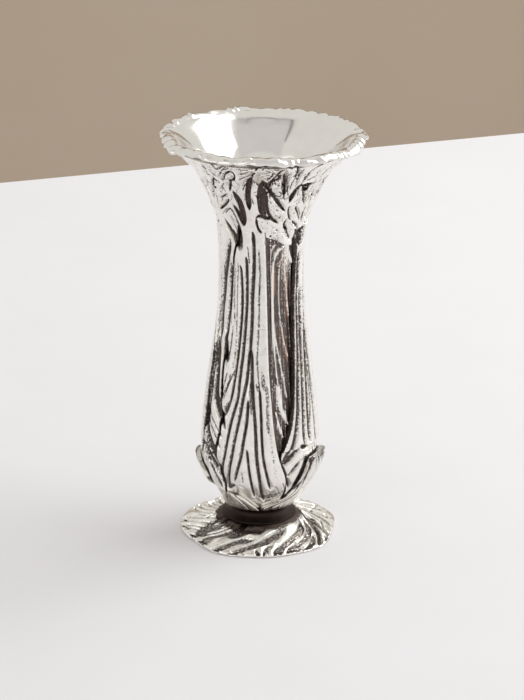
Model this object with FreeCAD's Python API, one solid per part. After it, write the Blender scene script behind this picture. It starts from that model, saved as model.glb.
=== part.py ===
import FreeCAD, Part
import math
import os

# A bud vase formed as a bunch of celery: ribbed stalks round a water tube,
# a hammered trumpet bowl on top and a cast foot with swirled ribs below.
# Millimetres, +Z up, the origin at the middle of the face it stands on.
# Azimuth 0 is the front, on -Y, and it grows towards +X.

# Heights above the table
overall_height = 150.0
bowl_height = 32.0
throat_height = 15.0
belly_height = 33.0
neck_top_height = 12.4
neck_foot_height = 7.0
collar_height = overall_height - bowl_height
waist_height = collar_height - throat_height

# Outside of the bunch of stalks
belly_radius = 21.6
waist_radius = 15.5
base_radius = 13.7
collar_flare = 0.8

# Water tube
tube_belly_radius = 16.4
tube_waist_radius = 11.0
tube_base_radius = 10.5
tube_wall = 0.8

# Trumpet bowl
lip_radius = 36.3
lip_width = 2.4
lip_drop = 1.6
lip_lift = 0.7
lip_ripple = 0.6
bowl_wall = 1.2
sleeve_wall = 0.8
sleeve_length = 12.0

# Foot and neck
foot_radius = 28.0
foot_edge = 1.9
foot_ripple = 0.8
foot_wall = 1.9
foot_rib_height = 1.0
foot_rim_width = 2.6
neck_foot_radius = 13.8
neck_waist_radius = 12.0
neck_top_radius = 12.8
neck_flange = 0.8
neck_bore_radius = 6.0

# Fastening up through the foot
stud_radius = 1.5
stud_cover = 0.5
boss_radius = 4.6
boss_height = 3.4
washer_radius = 3.4
washer_thickness = 0.6
nut_radius = 3.0
nut_height = 1.9
tube_boss_radius = 3.0
tube_boss_length = 4.0
tube_floor = 1.2
stud_tip_gap = 0.4

# Stalk layers
stalk_rib_depth = 1.0
inner_rib_depth = 0.7
sheath_rib_depth = 0.3
sheath_thickness = 1.2
spray_rib_depth = 0.5
sheath_standoff = 1.9
leaf_below_lip = 4.5
leaf_tip_thickness = 2.9
stalk_foot_gap = 1.2

# Fits
solder_gap = 0.12
slide_gap = 0.06
stud_gap = 0.05

# Shapes as shares of the sizes above
inner_layer_share = 0.42
base_face_share = 0.7
belly_taper_share = 0.9
deepest_groove_share = 0.45
step_height_share = 0.225
step_rise_share = 0.012
step_depth_share = 0.3

# Underside of the bowl: share of the height from collar to crest, share of the way out
bowl_shares = [
    (0.0, 0.0), (0.03, 0.09), (0.09, 0.145), (0.18, 0.20), (0.33, 0.285),
    (0.48, 0.375), (0.62, 0.48), (0.74, 0.61), (0.86, 0.79), (0.925, 0.90),
]
# Rolled lip: share of its width out from the crest, shares of its drop and of the wall down
lip_shares = [
    (-0.35, 0.2, 0.0), (0.2, 0.0, 0.0), (0.7, 0.4, 0.0), (1.0, 1.0, 0.0), (0.78, 1.0, 0.5), (0.25, 0.5, 1.0),
]
# Outside of the leaves: share of the height of a spray, share of the way out
spray_face_shares = [
    (0.0, 0.0), (0.05, 0.006), (0.21, 0.115), (0.38, 0.236), (0.556, 0.376), (0.716, 0.535),
    (0.836, 0.74), (0.927, 0.885), (1.0, 1.0),
]
# Top of the foot: share of the way in from the edge, share of the rise, share of the rib height
foot_dome_shares = [
    (0.0, 0.0, 0.75), (0.14, 0.16, 1.0), (0.34, 0.33, 1.0), (0.56, 0.52, 0.9), (0.78, 0.76, 0.6),
]
# One rib of the foot: share of its height at each quarter of its width
foot_rib_shares = [0.25, 1.0, 0.8, 0.0]
# One rib of a stalk: share of its width from the groove, share of the depth cut away there
rib_shape_shares = [(0.16, 0.42), (0.333, 0.06), (0.667, 0.06), (0.84, 0.42)]
foot_rib_count = 22
foot_swirl_degrees = 30.0
lip_lobe_count = 11
bowl_section_count = 48

# Edges of each outer stalk: height share from neck to collar, left and right azimuth in degrees
front_edges = [
    (0.0, -40.0, 30.0), (0.10, -44.0, 30.0), (0.20, -47.0, 20.0), (0.30, -42.0, 15.0),
    (0.40, -44.0, 12.5), (0.52, -46.0, 10.0), (0.70, -45.0, 8.5), (0.86, -42.0, 6.5), (1.0, -30.0, 4.0),
]
left_edges = [
    (0.0, -84.0, -42.5), (0.20, -74.0, -49.5), (0.30, -72.0, -44.5), (0.40, -72.0, -46.5),
    (0.52, -74.0, -48.5), (0.70, -84.0, -47.5), (0.86, -92.0, -44.5), (1.0, -90.0, -32.5),
]
back_left_edges = [
    (0.0, -140.0, -87.0), (0.25, -134.0, -76.0), (0.50, -132.0, -77.0), (0.75, -136.0, -90.0),
    (1.0, -142.0, -93.0),
]
back_edges = [
    (0.0, -196.0, -143.0), (0.25, -200.0, -137.0), (0.50, -192.0, -145.0), (0.75, -196.0, -144.0),
    (1.0, -200.0, -145.0),
]
back_right_edges = [
    (0.0, 112.0, 161.0), (0.25, 120.0, 157.0), (0.50, 116.0, 164.0), (0.75, 110.0, 160.0),
    (1.0, 112.0, 157.0),
]
right_edges = [
    (0.0, 34.0, 108.0), (0.10, 32.5, 112.0), (0.17, 24.0, 113.0), (0.21, 22.5, 113.0), (0.27, 30.0, 114.0),
    (0.33, 36.0, 114.0), (0.45, 42.0, 112.0), (0.60, 46.5, 110.0), (0.75, 51.0, 107.0), (0.86, 56.0, 105.0),
    (1.0, 50.0, 108.0),
]
# Name, edges, shares of the width where the grooves run, height share under which it is thinner
outer_stalks = [
    ("front_stalk", front_edges, [0.0, 0.13, 0.27, 0.40, 0.60, 0.74, 0.87, 1.0], 0.0),
    ("left_stalk", left_edges, [0.0, 0.26, 0.52, 0.76, 1.0], 0.0),
    ("back_left_stalk", back_left_edges, [0.0, 0.18, 0.40, 0.62, 0.82, 1.0], 0.0),
    ("back_stalk", back_edges, [0.0, 0.17, 0.33, 0.52, 0.70, 0.85, 1.0], 0.0),
    ("back_right_stalk", back_right_edges, [0.0, 0.22, 0.48, 0.75, 1.0], 0.0),
    ("right_stalk", right_edges, [0.0, 0.14, 0.27, 0.42, 0.56, 0.70, 0.86, 1.0], step_height_share),
]
# Name, left and right azimuth at the bottom, at the middle and at the top
inner_stalks = [
    ("inner_front_right_stalk", (-6.0, 62.0), (2.0, 60.0), (-2.0, 62.0)),
    ("inner_back_right_stalk", (65.0, 136.0), (63.0, 138.0), (65.0, 136.0)),
    ("inner_back_stalk", (139.0, 210.0), (141.0, 208.0), (139.0, 210.0)),
    ("inner_back_left_stalk", (213.0, 281.0), (211.0, 284.0), (213.0, 281.0)),
    ("inner_front_left_stalk", (284.0, 351.0), (287.0, 359.0), (284.0, 355.0)),
]
inner_groove_shares = [0.0, 0.22, 0.42, 0.66, 1.0]

# Sheaths at the base: height share from neck to their own top, left and right azimuth
right_sheath_edges = [
    (0.0, 3.0, 118.0), (0.10, 6.0, 119.0), (0.20, 26.0, 121.0), (0.35, 39.0, 122.0),
    (0.60, 47.0, 120.0), (0.82, 50.0, 114.0), (1.0, 56.0, 104.0),
]
front_sheath_edges = [
    (0.0, -58.0, 1.0), (0.25, -56.0, -5.0), (0.50, -52.0, -12.0), (0.80, -46.0, -19.0),
    (1.0, -42.0, -26.0),
]
left_sheath_edges = [
    (0.0, -136.0, -61.0), (0.30, -134.0, -62.0), (0.60, -126.0, -70.0), (0.85, -116.0, -80.0),
    (1.0, -106.0, -88.0),
]
back_sheath_edges = [
    (0.0, 121.0, 221.0), (0.30, 126.0, 218.0), (0.60, 140.0, 208.0), (0.85, 152.0, 196.0),
    (1.0, 162.0, 186.0),
]
# Name, edges, height of its tip as a share of the belly's, share of the standoff at the tip
sheaths = [
    ("right_sheath", right_sheath_edges, 1.0, 0.85),
    ("front_sheath", front_sheath_edges, 0.60, 0.16),
    ("left_sheath", left_sheath_edges, 0.90, 0.47),
    ("back_sheath", back_sheath_edges, 0.91, 0.74),
]
sheath_rib_count = 10

# Leaf sprays under the bowl: middle azimuth and half width in degrees
sprays = [
    ("front_left_spray", -31.0, 28.0),
    ("front_right_spray", 27.0, 27.0),
    ("right_spray", 84.0, 27.0),
    ("back_right_spray", 146.0, 30.0),
    ("back_left_spray", 209.0, 30.0),
    ("left_spray", 270.0, 27.5),
]
# Height share of a spray, share of its half width, which makes the lobes of the leaves
spray_lobe_shares = [
    (0.0, 0.62), (0.12, 0.66), (0.26, 0.94), (0.36, 0.78), (0.50, 1.0), (0.60, 0.82),
    (0.74, 1.0), (0.84, 0.86), (0.93, 0.90), (1.0, 0.70),
]
spray_groove_shares = [0.0, 0.2, 0.36, 0.5, 0.64, 0.8, 1.0]
spray_crowding = 1.3
# Shares of a spray's half width where its back is held off the bowl
seat_shares = [-1.0, -0.75, -0.5, -0.25, 0.0, 0.25, 0.5, 0.75, 1.0]

strip_station_count = 22
sheath_station_count = 9
spray_station_count = 15
underside_step_count = 4
os.makedirs("parts", exist_ok=True)


def save(name, shape):
    shape.exportStep("parts/" + name + ".step")
    print(name, shape.isValid(), round(shape.Volume, 1))


def polar(radius, degrees, height):
    turn = math.radians(degrees)
    return FreeCAD.Vector(radius * math.sin(turn), -radius * math.cos(turn), height)


def along(rows, share, column):
    # Smooth value of one column of a table of shares, in the manner of a drawn spline
    last = len(rows) - 1
    k = 0
    while k < last - 1 and rows[k + 1][0] < share:
        k = k + 1
    before, start, end, after = rows[max(k - 1, 0)], rows[k], rows[k + 1], rows[min(k + 2, last)]
    span = end[0] - start[0]
    t = min(max((share - start[0]) / span, 0.0), 1.0)
    start_slope = (end[column] - before[column]) / (end[0] - before[0]) * span
    end_slope = (after[column] - start[column]) / (after[0] - start[0]) * span
    return ((2 * t ** 3 - 3 * t ** 2 + 1) * start[column] + (t ** 3 - 2 * t ** 2 + t) * start_slope
            + (3 * t ** 2 - 2 * t ** 3) * end[column] + (t ** 3 - t ** 2) * end_slope)


def swelling(height, base, belly, waist):
    # Radius of a bellied form that is narrow at its base and at its waist
    if height < belly_height:
        share = (height - neck_top_height) / (belly_height - neck_top_height)
        return belly - (belly - base) * (1 - share) ** 2
    share = min((height - belly_height) / (waist_height - belly_height), 1.0)
    return waist + (belly - waist) * (1 + math.cos(math.pi * share ** belly_taper_share)) / 2


def tube_face(height):
    return swelling(height, tube_base_radius, tube_belly_radius, tube_waist_radius)


def bunch_face(height):
    flare_share = max(0.0, (height - waist_height) / throat_height)
    return swelling(height, base_radius, belly_radius, waist_radius) + collar_flare * flare_share ** 2


def layer_face(height, share):
    # Surface between the water tube, share 0, and the outside of the bunch, share 1
    return tube_face(height) + share * (bunch_face(height) - tube_face(height))


def outer_share(height):
    # The stalks sink under the sheaths towards the base
    rise = min((height - neck_top_height) / (belly_height - neck_top_height), 1.0)
    return base_face_share + (1 - base_face_share) * rise ** 2 * (3 - 2 * rise)


def sleeve_radius():
    return tube_waist_radius - tube_wall - slide_gap


def bowl_face(height):
    # Radius of the underside of the bowl
    share = (height - collar_height) / bowl_height
    reach = lip_radius - lip_width - tube_waist_radius
    return tube_waist_radius + reach * along(bowl_shares, share, 1)


def lip_weight(radius):
    # The lobes and the rise grow from nothing at the collar to their full size at the lip
    return max(0.0, (radius - tube_waist_radius) / (lip_radius - tube_waist_radius)) ** 3


def bowl_underside(height, degrees):
    # Radius of the lobed underside in one direction, found by closing in on its level there
    level = height
    for step in range(underside_step_count):
        weight = lip_weight(bowl_face(level))
        level = height - weight * lip_lift * (lip_rise(degrees) - 1)
    return bowl_face(level) + weight * lip_ripple * lip_wave(degrees)


def groove_points(grooves):
    # Places across a strip, each with the share of the rib's depth that is cut away there
    places = []
    for left, right in zip(grooves[:-1], grooves[1:]):
        places.append((left, 1.0))
        places.extend((left + across * (right - left), cut) for across, cut in rib_shape_shares)
    places.append((grooves[-1], 1.0))
    return places


def spline_edge(points):
    curve = Part.BSplineCurve()
    curve.interpolate(points)
    return curve.toShape()


def strip_section(height, left, right, inner, outer, places, depth):
    # One level cut through a stalk, sheath or leaf: a ribbed face, two sides and a smooth back
    deep = min(depth, deepest_groove_share * (outer - inner))
    front = [polar(outer - deep * cut, left + share * (right - left), height) for share, cut in places]
    back_shares = [k / (len(places) - 1) for k in range(len(places))]
    back = [polar(inner, right + share * (left - right), height) for share in back_shares]
    edges = [
        spline_edge(front),
        Part.makeLine(front[-1], back[0]),
        spline_edge(back),
        Part.makeLine(back[-1], front[0]),
    ]
    return Part.Wire(edges)


def loft_strip(sections):
    return Part.makeLoft(sections, True, False)


def outer_stalk(edges, grooves, step):
    places = groove_points(grooves)
    sections = []
    shares = [k / (strip_station_count - 1) for k in range(strip_station_count)]
    if step:
        # Two close levels make the edge where the upper end of the stalk stands over the lower
        shares = [share for share in shares if abs(share - step) > 2 * step_rise_share]
        shares = sorted(shares + [step - step_rise_share, step + step_rise_share])
    for share in shares:
        low = neck_top_height + stalk_foot_gap
        height = low + share * (collar_height - low)
        left, right = along(edges, share, 1), along(edges, share, 2)
        inner = layer_face(height, inner_layer_share) + solder_gap
        outer = layer_face(height, outer_share(height))
        if share < step:
            outer = outer - step_depth_share * (outer - inner)
        sections.append(strip_section(height, left, right, inner, outer, places, stalk_rib_depth))
    return loft_strip(sections)


def inner_stalk(bottom, middle, top):
    places = groove_points(inner_groove_shares)
    edges = [(0.0,) + bottom, (0.5,) + middle, (1.0,) + top]
    sections = []
    for k in range(strip_station_count):
        share = k / (strip_station_count - 1)
        low = neck_top_height + solder_gap
        height = low + share * (collar_height - low)
        left, right = along(edges, share, 1), along(edges, share, 2)
        inner = tube_face(height) + solder_gap
        outer = layer_face(height, inner_layer_share)
        sections.append(strip_section(height, left, right, inner, outer, places, inner_rib_depth))
    return loft_strip(sections)


def sheath(edges, tip_share, standoff_share):
    low = neck_top_height + solder_gap
    tip_height = tip_share * belly_height
    places = groove_points([k / sheath_rib_count for k in range(sheath_rib_count + 1)])
    sections = []
    for k in range(sheath_station_count):
        share = k / (sheath_station_count - 1)
        height = low + share * (tip_height - low)
        left, right = along(edges, share, 1), along(edges, share, 2)
        standoff = standoff_share * sheath_standoff * share ** 2
        inner = layer_face(height, outer_share(height)) + solder_gap + standoff
        outer = inner + sheath_thickness
        sections.append(strip_section(height, left, right, inner, outer, places, sheath_rib_depth))
    return loft_strip(sections)


def spray(middle, half_width):
    low, high = collar_height + solder_gap, overall_height - leaf_below_lip
    root_radius = bunch_face(collar_height)
    tip_radius = bowl_face(high) + leaf_tip_thickness
    places = groove_points(spray_groove_shares)
    sections = []
    for k in range(spray_station_count):
        share = (k / (spray_station_count - 1)) ** spray_crowding
        height = low + share * (high - low)
        half = half_width * along(spray_lobe_shares, share, 1)
        turns = [middle + half * share_across for share_across in seat_shares]
        inner = max(bowl_underside(height, turn) for turn in turns) + solder_gap
        outer = root_radius + (tip_radius - root_radius) * along(spray_face_shares, share, 1)
        section = strip_section(height, middle - half, middle + half, inner, outer, places, spray_rib_depth)
        sections.append(section)
    return loft_strip(sections)


def revolved(points):
    outline = Part.makePolygon(points + [points[0]])
    return Part.Face(outline).revolve(FreeCAD.Vector(0, 0, 0), FreeCAD.Vector(0, 0, 1), 360)


def upright_cylinder(radius, low, high):
    return Part.makeCylinder(radius, high - low, FreeCAD.Vector(0, 0, low))


def water_tube():
    count = strip_station_count
    heights = [neck_top_height + (collar_height - neck_top_height) * k / (count - 1) for k in range(count)]
    outside = [FreeCAD.Vector(tube_face(height), 0, height) for height in heights]
    inside = [FreeCAD.Vector(tube_face(height) - tube_wall, 0, height) for height in heights]
    edges = [
        spline_edge(outside),
        Part.makeLine(outside[-1], inside[-1]),
        spline_edge(inside),
        Part.makeLine(inside[0], outside[0]),
    ]
    face = Part.Face(Part.Wire(edges))
    return face.revolve(FreeCAD.Vector(0, 0, 0), FreeCAD.Vector(0, 0, 1), 360)


def tube_bottom():
    floor_radius = tube_base_radius - tube_wall - slide_gap
    boss_low = neck_top_height - tube_boss_length
    disc = upright_cylinder(floor_radius, neck_top_height, neck_top_height + tube_floor)
    boss = upright_cylinder(tube_boss_radius, boss_low, neck_top_height)
    hole = upright_cylinder(stud_radius + stud_gap, boss_low, neck_top_height)
    return disc.fuse(boss).cut(hole)


def lip_wave(degrees):
    # Uneven lobes of the beaten lip, between -1 and 1
    turn = math.radians(degrees)
    return (0.62 * math.cos(lip_lobe_count * turn + 0.7 * math.sin(2 * turn))
            + 0.38 * math.cos((lip_lobe_count - 4) * turn + 1.1))


def lip_rise(degrees):
    turn = math.radians(degrees)
    return 0.55 * math.cos(3 * turn + 0.4) + 0.45 * math.cos((lip_lobe_count - 2) * turn)


def bowl_outline():
    # Points of the bowl's section from its throat, over the crest of the lip, back to the collar
    heights = [collar_height + share * bowl_height for share, out in bowl_shares]
    under = [(bowl_face(height), height) for height in heights]
    inside = [(sleeve_radius() + slide_gap, collar_height)]
    for k in range(len(under)):
        before, after = under[max(k - 1, 0)], under[min(k + 1, len(under) - 1)]
        run, rise = after[0] - before[0], after[1] - before[1]
        length = math.hypot(run, rise)
        inside.append((under[k][0] - bowl_wall * rise / length, under[k][1] + bowl_wall * run / length))
    lip = []
    for out, drop, down in lip_shares:
        height = overall_height - drop * lip_drop - down * bowl_wall
        lip.append((lip_radius - (1 - out) * lip_width, height))
    return inside + lip + under[::-1]


def bowl_section(degrees):
    points = []
    for radius, height in bowl_outline():
        weight = lip_weight(radius)
        out = radius + weight * lip_ripple * lip_wave(degrees)
        points.append(polar(out, degrees, height + weight * lip_lift * (lip_rise(degrees) - 1)))
    return Part.Wire([spline_edge(points), Part.makeLine(points[-1], points[0])])


def trumpet_bowl():
    sections = [bowl_section(360.0 * k / bowl_section_count) for k in range(bowl_section_count)]
    return Part.makeLoft(sections, True, False, True)


def throat_sleeve():
    low, high = collar_height - sleeve_length, collar_height + bowl_wall / 2
    sleeve = upright_cylinder(sleeve_radius(), low, high)
    return sleeve.cut(upright_cylinder(sleeve_radius() - sleeve_wall, low, high))


def closed_spline(points):
    curve = Part.BSplineCurve()
    curve.interpolate(points, PeriodicFlag=True)
    return Part.Wire([curve.toShape()])


def neck():
    low = FreeCAD.Vector(neck_foot_radius, 0, neck_foot_height)
    waist = FreeCAD.Vector(neck_waist_radius, 0, (neck_foot_height + neck_top_height) / 2)
    high = FreeCAD.Vector(neck_top_radius, 0, neck_top_height - neck_flange)
    rim = FreeCAD.Vector(neck_top_radius, 0, neck_top_height)
    bore_top = FreeCAD.Vector(neck_bore_radius, 0, neck_top_height)
    bore_low = FreeCAD.Vector(neck_bore_radius, 0, neck_foot_height)
    edges = [
        Part.Arc(low, waist, high).toShape(),
        Part.makeLine(high, rim),
        Part.makeLine(rim, bore_top),
        Part.makeLine(bore_top, bore_low),
        Part.makeLine(bore_low, low),
    ]
    face = Part.Face(Part.Wire(edges))
    return face.revolve(FreeCAD.Vector(0, 0, 0), FreeCAD.Vector(0, 0, 1), 360)


def foot_edge_radius(degrees):
    # The edge is drawn out into uneven lobes
    turn = math.radians(degrees)
    return foot_radius + foot_ripple * (0.6 * math.cos(5 * turn - 0.6) + 0.4 * math.cos(8 * turn + 0.5))


def foot_ring(inward, rise, rib):
    # A ring of the foot's top, whose ribs trail round as they run out
    points = []
    count = len(foot_rib_shares) * foot_rib_count
    for k in range(count):
        degrees = 360.0 * k / count
        wave = foot_rib_shares[k % len(foot_rib_shares)]
        edge = foot_edge_radius(degrees)
        radius = edge + inward * (neck_foot_radius - edge)
        height = foot_edge + rise * (neck_foot_height - foot_edge)
        turned = degrees - foot_swirl_degrees * (1 - inward)
        points.append(polar(radius, turned, height + foot_rib_height * rib * (wave - 1)))
    return closed_spline(points)


def foot():
    count = len(foot_rib_shares) * foot_rib_count
    sole = []
    for k in range(count):
        degrees = 360.0 * k / count
        sole.append(polar(foot_edge_radius(degrees), degrees - foot_swirl_degrees, 0))
    seat = [polar(neck_foot_radius, 360.0 * k / count, neck_foot_height) for k in range(count)]
    rings = [closed_spline(sole)]
    rings.extend(foot_ring(inward, rise, rib) for inward, rise, rib in foot_dome_shares)
    rings.append(closed_spline(seat))
    body = Part.makeLoft(rings, True, False)
    rim = foot_radius - foot_ripple - foot_rim_width
    hollow_high = neck_foot_height - foot_wall
    hollow = revolved([
        FreeCAD.Vector(boss_radius, 0, 0),
        FreeCAD.Vector(rim, 0, 0),
        FreeCAD.Vector(rim, 0, foot_edge - foot_rib_height),
        FreeCAD.Vector(neck_foot_radius, 0, hollow_high - foot_rib_height / 2),
        FreeCAD.Vector(boss_radius, 0, hollow_high),
    ])
    recess = upright_cylinder(boss_radius, 0, boss_height)
    hole = upright_cylinder(stud_radius + stud_gap, 0, neck_foot_height)
    return body.cut(hollow).cut(recess).cut(hole)


def foot_stud():
    return upright_cylinder(stud_radius, stud_cover, neck_top_height - stud_tip_gap)


def foot_washer():
    disc = upright_cylinder(washer_radius, boss_height - washer_thickness, boss_height)
    return disc.cut(upright_cylinder(stud_radius + stud_gap, 0, boss_height))


def foot_nut():
    high = boss_height - washer_thickness
    corners = [polar(nut_radius, 60.0 * k, high - nut_height) for k in range(7)]
    block = Part.Face(Part.makePolygon(corners)).extrude(FreeCAD.Vector(0, 0, nut_height))
    return block.cut(upright_cylinder(stud_radius + stud_gap, 0, boss_height))


save("foot", foot())
save("neck", neck())
save("foot_stud", foot_stud())
save("foot_washer", foot_washer())
save("foot_nut", foot_nut())
save("water_tube", water_tube())
save("tube_bottom", tube_bottom())
save("throat_sleeve", throat_sleeve())
save("trumpet_bowl", trumpet_bowl())
for name, edges, grooves, step in outer_stalks:
    save(name, outer_stalk(edges, grooves, step))
for name, bottom, middle, top in inner_stalks:
    save(name, inner_stalk(bottom, middle, top))
for name, edges, tip_share, standoff_share in sheaths:
    save(name, sheath(edges, tip_share, standoff_share))
for name, middle, half_width in sprays:
    save(name, spray(middle, half_width))
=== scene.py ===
import math
import random

import bpy
import numpy as np
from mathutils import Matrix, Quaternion, Vector


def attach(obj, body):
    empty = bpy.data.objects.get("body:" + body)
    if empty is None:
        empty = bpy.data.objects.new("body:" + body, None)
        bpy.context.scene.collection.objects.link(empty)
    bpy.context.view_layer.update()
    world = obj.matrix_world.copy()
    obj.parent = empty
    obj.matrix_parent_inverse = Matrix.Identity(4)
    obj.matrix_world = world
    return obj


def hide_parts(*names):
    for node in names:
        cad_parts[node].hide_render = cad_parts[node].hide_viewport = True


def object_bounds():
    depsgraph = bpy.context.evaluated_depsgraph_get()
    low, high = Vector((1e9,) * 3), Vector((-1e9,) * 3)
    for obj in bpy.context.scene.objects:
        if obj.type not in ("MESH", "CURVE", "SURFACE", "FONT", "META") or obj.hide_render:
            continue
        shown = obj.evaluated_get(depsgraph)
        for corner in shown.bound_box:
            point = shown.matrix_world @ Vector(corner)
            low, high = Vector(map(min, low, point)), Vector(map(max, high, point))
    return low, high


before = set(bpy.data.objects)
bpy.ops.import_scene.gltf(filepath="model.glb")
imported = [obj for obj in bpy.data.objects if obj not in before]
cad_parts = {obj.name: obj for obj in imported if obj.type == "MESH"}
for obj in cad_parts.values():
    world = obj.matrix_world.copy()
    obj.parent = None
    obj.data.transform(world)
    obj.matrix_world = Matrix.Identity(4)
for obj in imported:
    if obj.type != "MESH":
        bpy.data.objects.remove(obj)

# Silver bud vase: a bunch of ribbed celery stalks on a swirled foot, with a beaten trumpet mouth.
# Sizes in the dictionaries are millimetres and degrees, azimuth 0 is the front and grows to the right.
# Places called photo are pixels of the 524 x 700 picture, laid back onto the vase through its camera.

cadLow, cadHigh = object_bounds()
mm = 0.001

vase = {
    "footEdge": 1.9, "neckFoot": 7.0, "neckTop": 12.4,
    "belly": 33.0, "waist": 103.0, "collar": 118.0, "leafTop": 145.5,
    "top": cadHigh.z / mm,
    "footRadius": 28.0, "neckFootRadius": 13.8, "neckWaistRadius": 12.0, "neckTopRadius": 12.8,
    "baseRadius": 13.7, "bellyRadius": 21.6, "waistRadius": 15.5, "collarFlare": 0.8,
    "leafTipRadius": 32.0, "lipRadius": 36.3, "throatRadius": 11.0,
}

cameraPlace = {
    "target": (0.45, 0.0, 69.0),   # mm
    "distance": 1001.0,
    "elevation": 20.0,
    "roll": 0.725,                 # the picture leans a little
    "lens": 144.0,
    "sensor": 36.0,
}

picture = {"width": 524, "height": 700}


def linearColour(hexText):
    parts = [int(hexText[k:k + 2], 16) / 255 for k in (1, 3, 5)]
    return [c / 12.92 if c <= 0.04045 else ((c + 0.055) / 1.055) ** 2.4 for c in parts] + [1.0]


def addNode(tree, kind, settings=None, inputs=None):
    node = tree.nodes.new(kind)
    for key, value in (settings or {}).items():
        setattr(node, key, value)
    for key, value in (inputs or {}).items():
        if isinstance(value, bpy.types.NodeSocket):
            tree.links.new(value, node.inputs[key])
        else:
            node.inputs[key].default_value = value
    return node


def addObject(name, data):
    thing = bpy.data.objects.new(name, data)
    bpy.context.scene.collection.objects.link(thing)
    return thing


def smoothStep(low, high, value):
    share = np.clip((value - low) / (high - low), 0.0, 1.0)
    return share * share * (3 - 2 * share)


def along(rows, share, column=1):
    # smooth value of one column of a table, in the manner of a drawn spline
    last = len(rows) - 1
    k = 0
    while k < last - 1 and rows[k + 1][0] < share:
        k += 1
    before, start, end, after = rows[max(k - 1, 0)], rows[k], rows[k + 1], rows[min(k + 2, last)]
    span = end[0] - start[0]
    t = min(max((share - start[0]) / span, 0.0), 1.0)
    startSlope = (end[column] - before[column]) / (end[0] - before[0]) * span
    endSlope = (after[column] - start[column]) / (after[0] - start[0]) * span
    return ((2 * t ** 3 - 3 * t ** 2 + 1) * start[column] + (t ** 3 - 2 * t ** 2 + t) * startSlope
            + (3 * t ** 2 - 2 * t ** 3) * end[column] + (t ** 3 - t ** 2) * endSlope)


# The outside of the vase as one turned profile, from the sole to the tips of the leaves

footDome = [(0.0, 0.0), (0.16, 0.14), (0.33, 0.34), (0.52, 0.56), (0.76, 0.78), (1.0, 1.0)]
leafFace = [(0.0, 0.0), (0.05, 0.006), (0.21, 0.115), (0.38, 0.236), (0.556, 0.376),
            (0.716, 0.535), (0.836, 0.74), (0.927, 0.885), (1.0, 1.0)]


def bunchFace(height, base, belly, waist):
    if height < vase["belly"]:
        share = (height - vase["neckTop"]) / (vase["belly"] - vase["neckTop"])
        return belly - (belly - base) * (1 - share) ** 2
    share = min((height - vase["belly"]) / (vase["waist"] - vase["belly"]), 1.0)
    flare = max(0.0, (height - vase["waist"]) / (vase["collar"] - vase["waist"]))
    narrowing = (1 + math.cos(math.pi * share ** 0.9)) / 2
    return waist + (belly - waist) * narrowing + vase["collarFlare"] * flare ** 2


def stalkFace(height):
    return bunchFace(height, vase["baseRadius"], vase["bellyRadius"], vase["waistRadius"])


def vaseFace(height):
    if height < vase["footEdge"]:
        return vase["footRadius"]
    if height < vase["neckFoot"]:
        share = (height - vase["footEdge"]) / (vase["neckFoot"] - vase["footEdge"])
        return vase["footRadius"] + along(footDome, share) * (vase["neckFootRadius"] - vase["footRadius"])
    if height < vase["neckTop"]:
        share = (height - vase["neckFoot"]) / (vase["neckTop"] - vase["neckFoot"])
        hollow = math.sin(math.pi * share)
        level = vase["neckFootRadius"] + share * (vase["neckTopRadius"] - vase["neckFootRadius"])
        return level - hollow * (level - vase["neckWaistRadius"])
    if height < vase["collar"]:
        return stalkFace(height)
    root = stalkFace(vase["collar"])
    share = (height - vase["collar"]) / (vase["leafTop"] - vase["collar"])
    return root + (vase["leafTipRadius"] - root) * along(leafFace, min(share, 1.1))


profileZ = np.arange(0.0, vase["top"] + 0.05, 0.1)
profileR = np.array([vaseFace(float(z)) for z in profileZ])
profileS = np.concatenate([[0.0], np.cumsum(np.hypot(np.diff(profileZ), np.diff(profileR)))])


def slant(height):
    return np.interp(height, profileZ, profileS)


def cameraTurn():
    lift = math.radians(cameraPlace["elevation"])
    back = Vector((0, -math.cos(lift), math.sin(lift)))
    place = Vector(cameraPlace["target"]) + back * cameraPlace["distance"]
    roll = Quaternion((0, 0, 1), math.radians(cameraPlace["roll"]))
    return place, (-back).to_track_quat("-Z", "Y") @ roll


def photoRay(x, y):
    place, turn = cameraTurn()
    focal = cameraPlace["lens"] / cameraPlace["sensor"] * picture["height"]
    ray = turn @ Vector(((x - picture["width"] / 2) / focal, (picture["height"] / 2 - y) / focal, -1.0))
    return place, ray.normalized()


def rayPoints(x, y, spread, step):
    # points along the ray through a pixel, to both sides of the middle of the vase
    place, ray = photoRay(x, y)
    reach = np.arange(cameraPlace["distance"] - spread, cameraPlace["distance"] + spread, step)
    return ray, np.array(place)[None, :] + reach[:, None] * np.array(ray)[None, :]


def onVase(x, y, inset=0.0):
    # azimuth and height where the ray through a pixel meets the vase's outside, or a face inset from it
    ray, points = rayPoints(x, y, 60, 0.1)
    gap = np.hypot(points[:, 0], points[:, 1]) - np.interp(points[:, 2], profileZ, profileR) + inset
    gap[(points[:, 2] < 0.0) | (points[:, 2] > vase["top"])] = 99.0   # past either end of the vase
    inside = np.nonzero(gap < 0.0)[0]
    k = inside[0] if len(inside) else int(np.argmin(gap))
    return math.degrees(math.atan2(points[k, 0], -points[k, 1])), float(points[k, 2])


def polar(radius, azimuth, height):
    turn = np.radians(azimuth)
    return np.stack([radius * np.sin(turn), -radius * np.cos(turn), height + 0 * turn], axis=-1)


# Relief is drawn on a sheet of points: azimuth, slant distance and radius, with a height and a darkness

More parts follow.
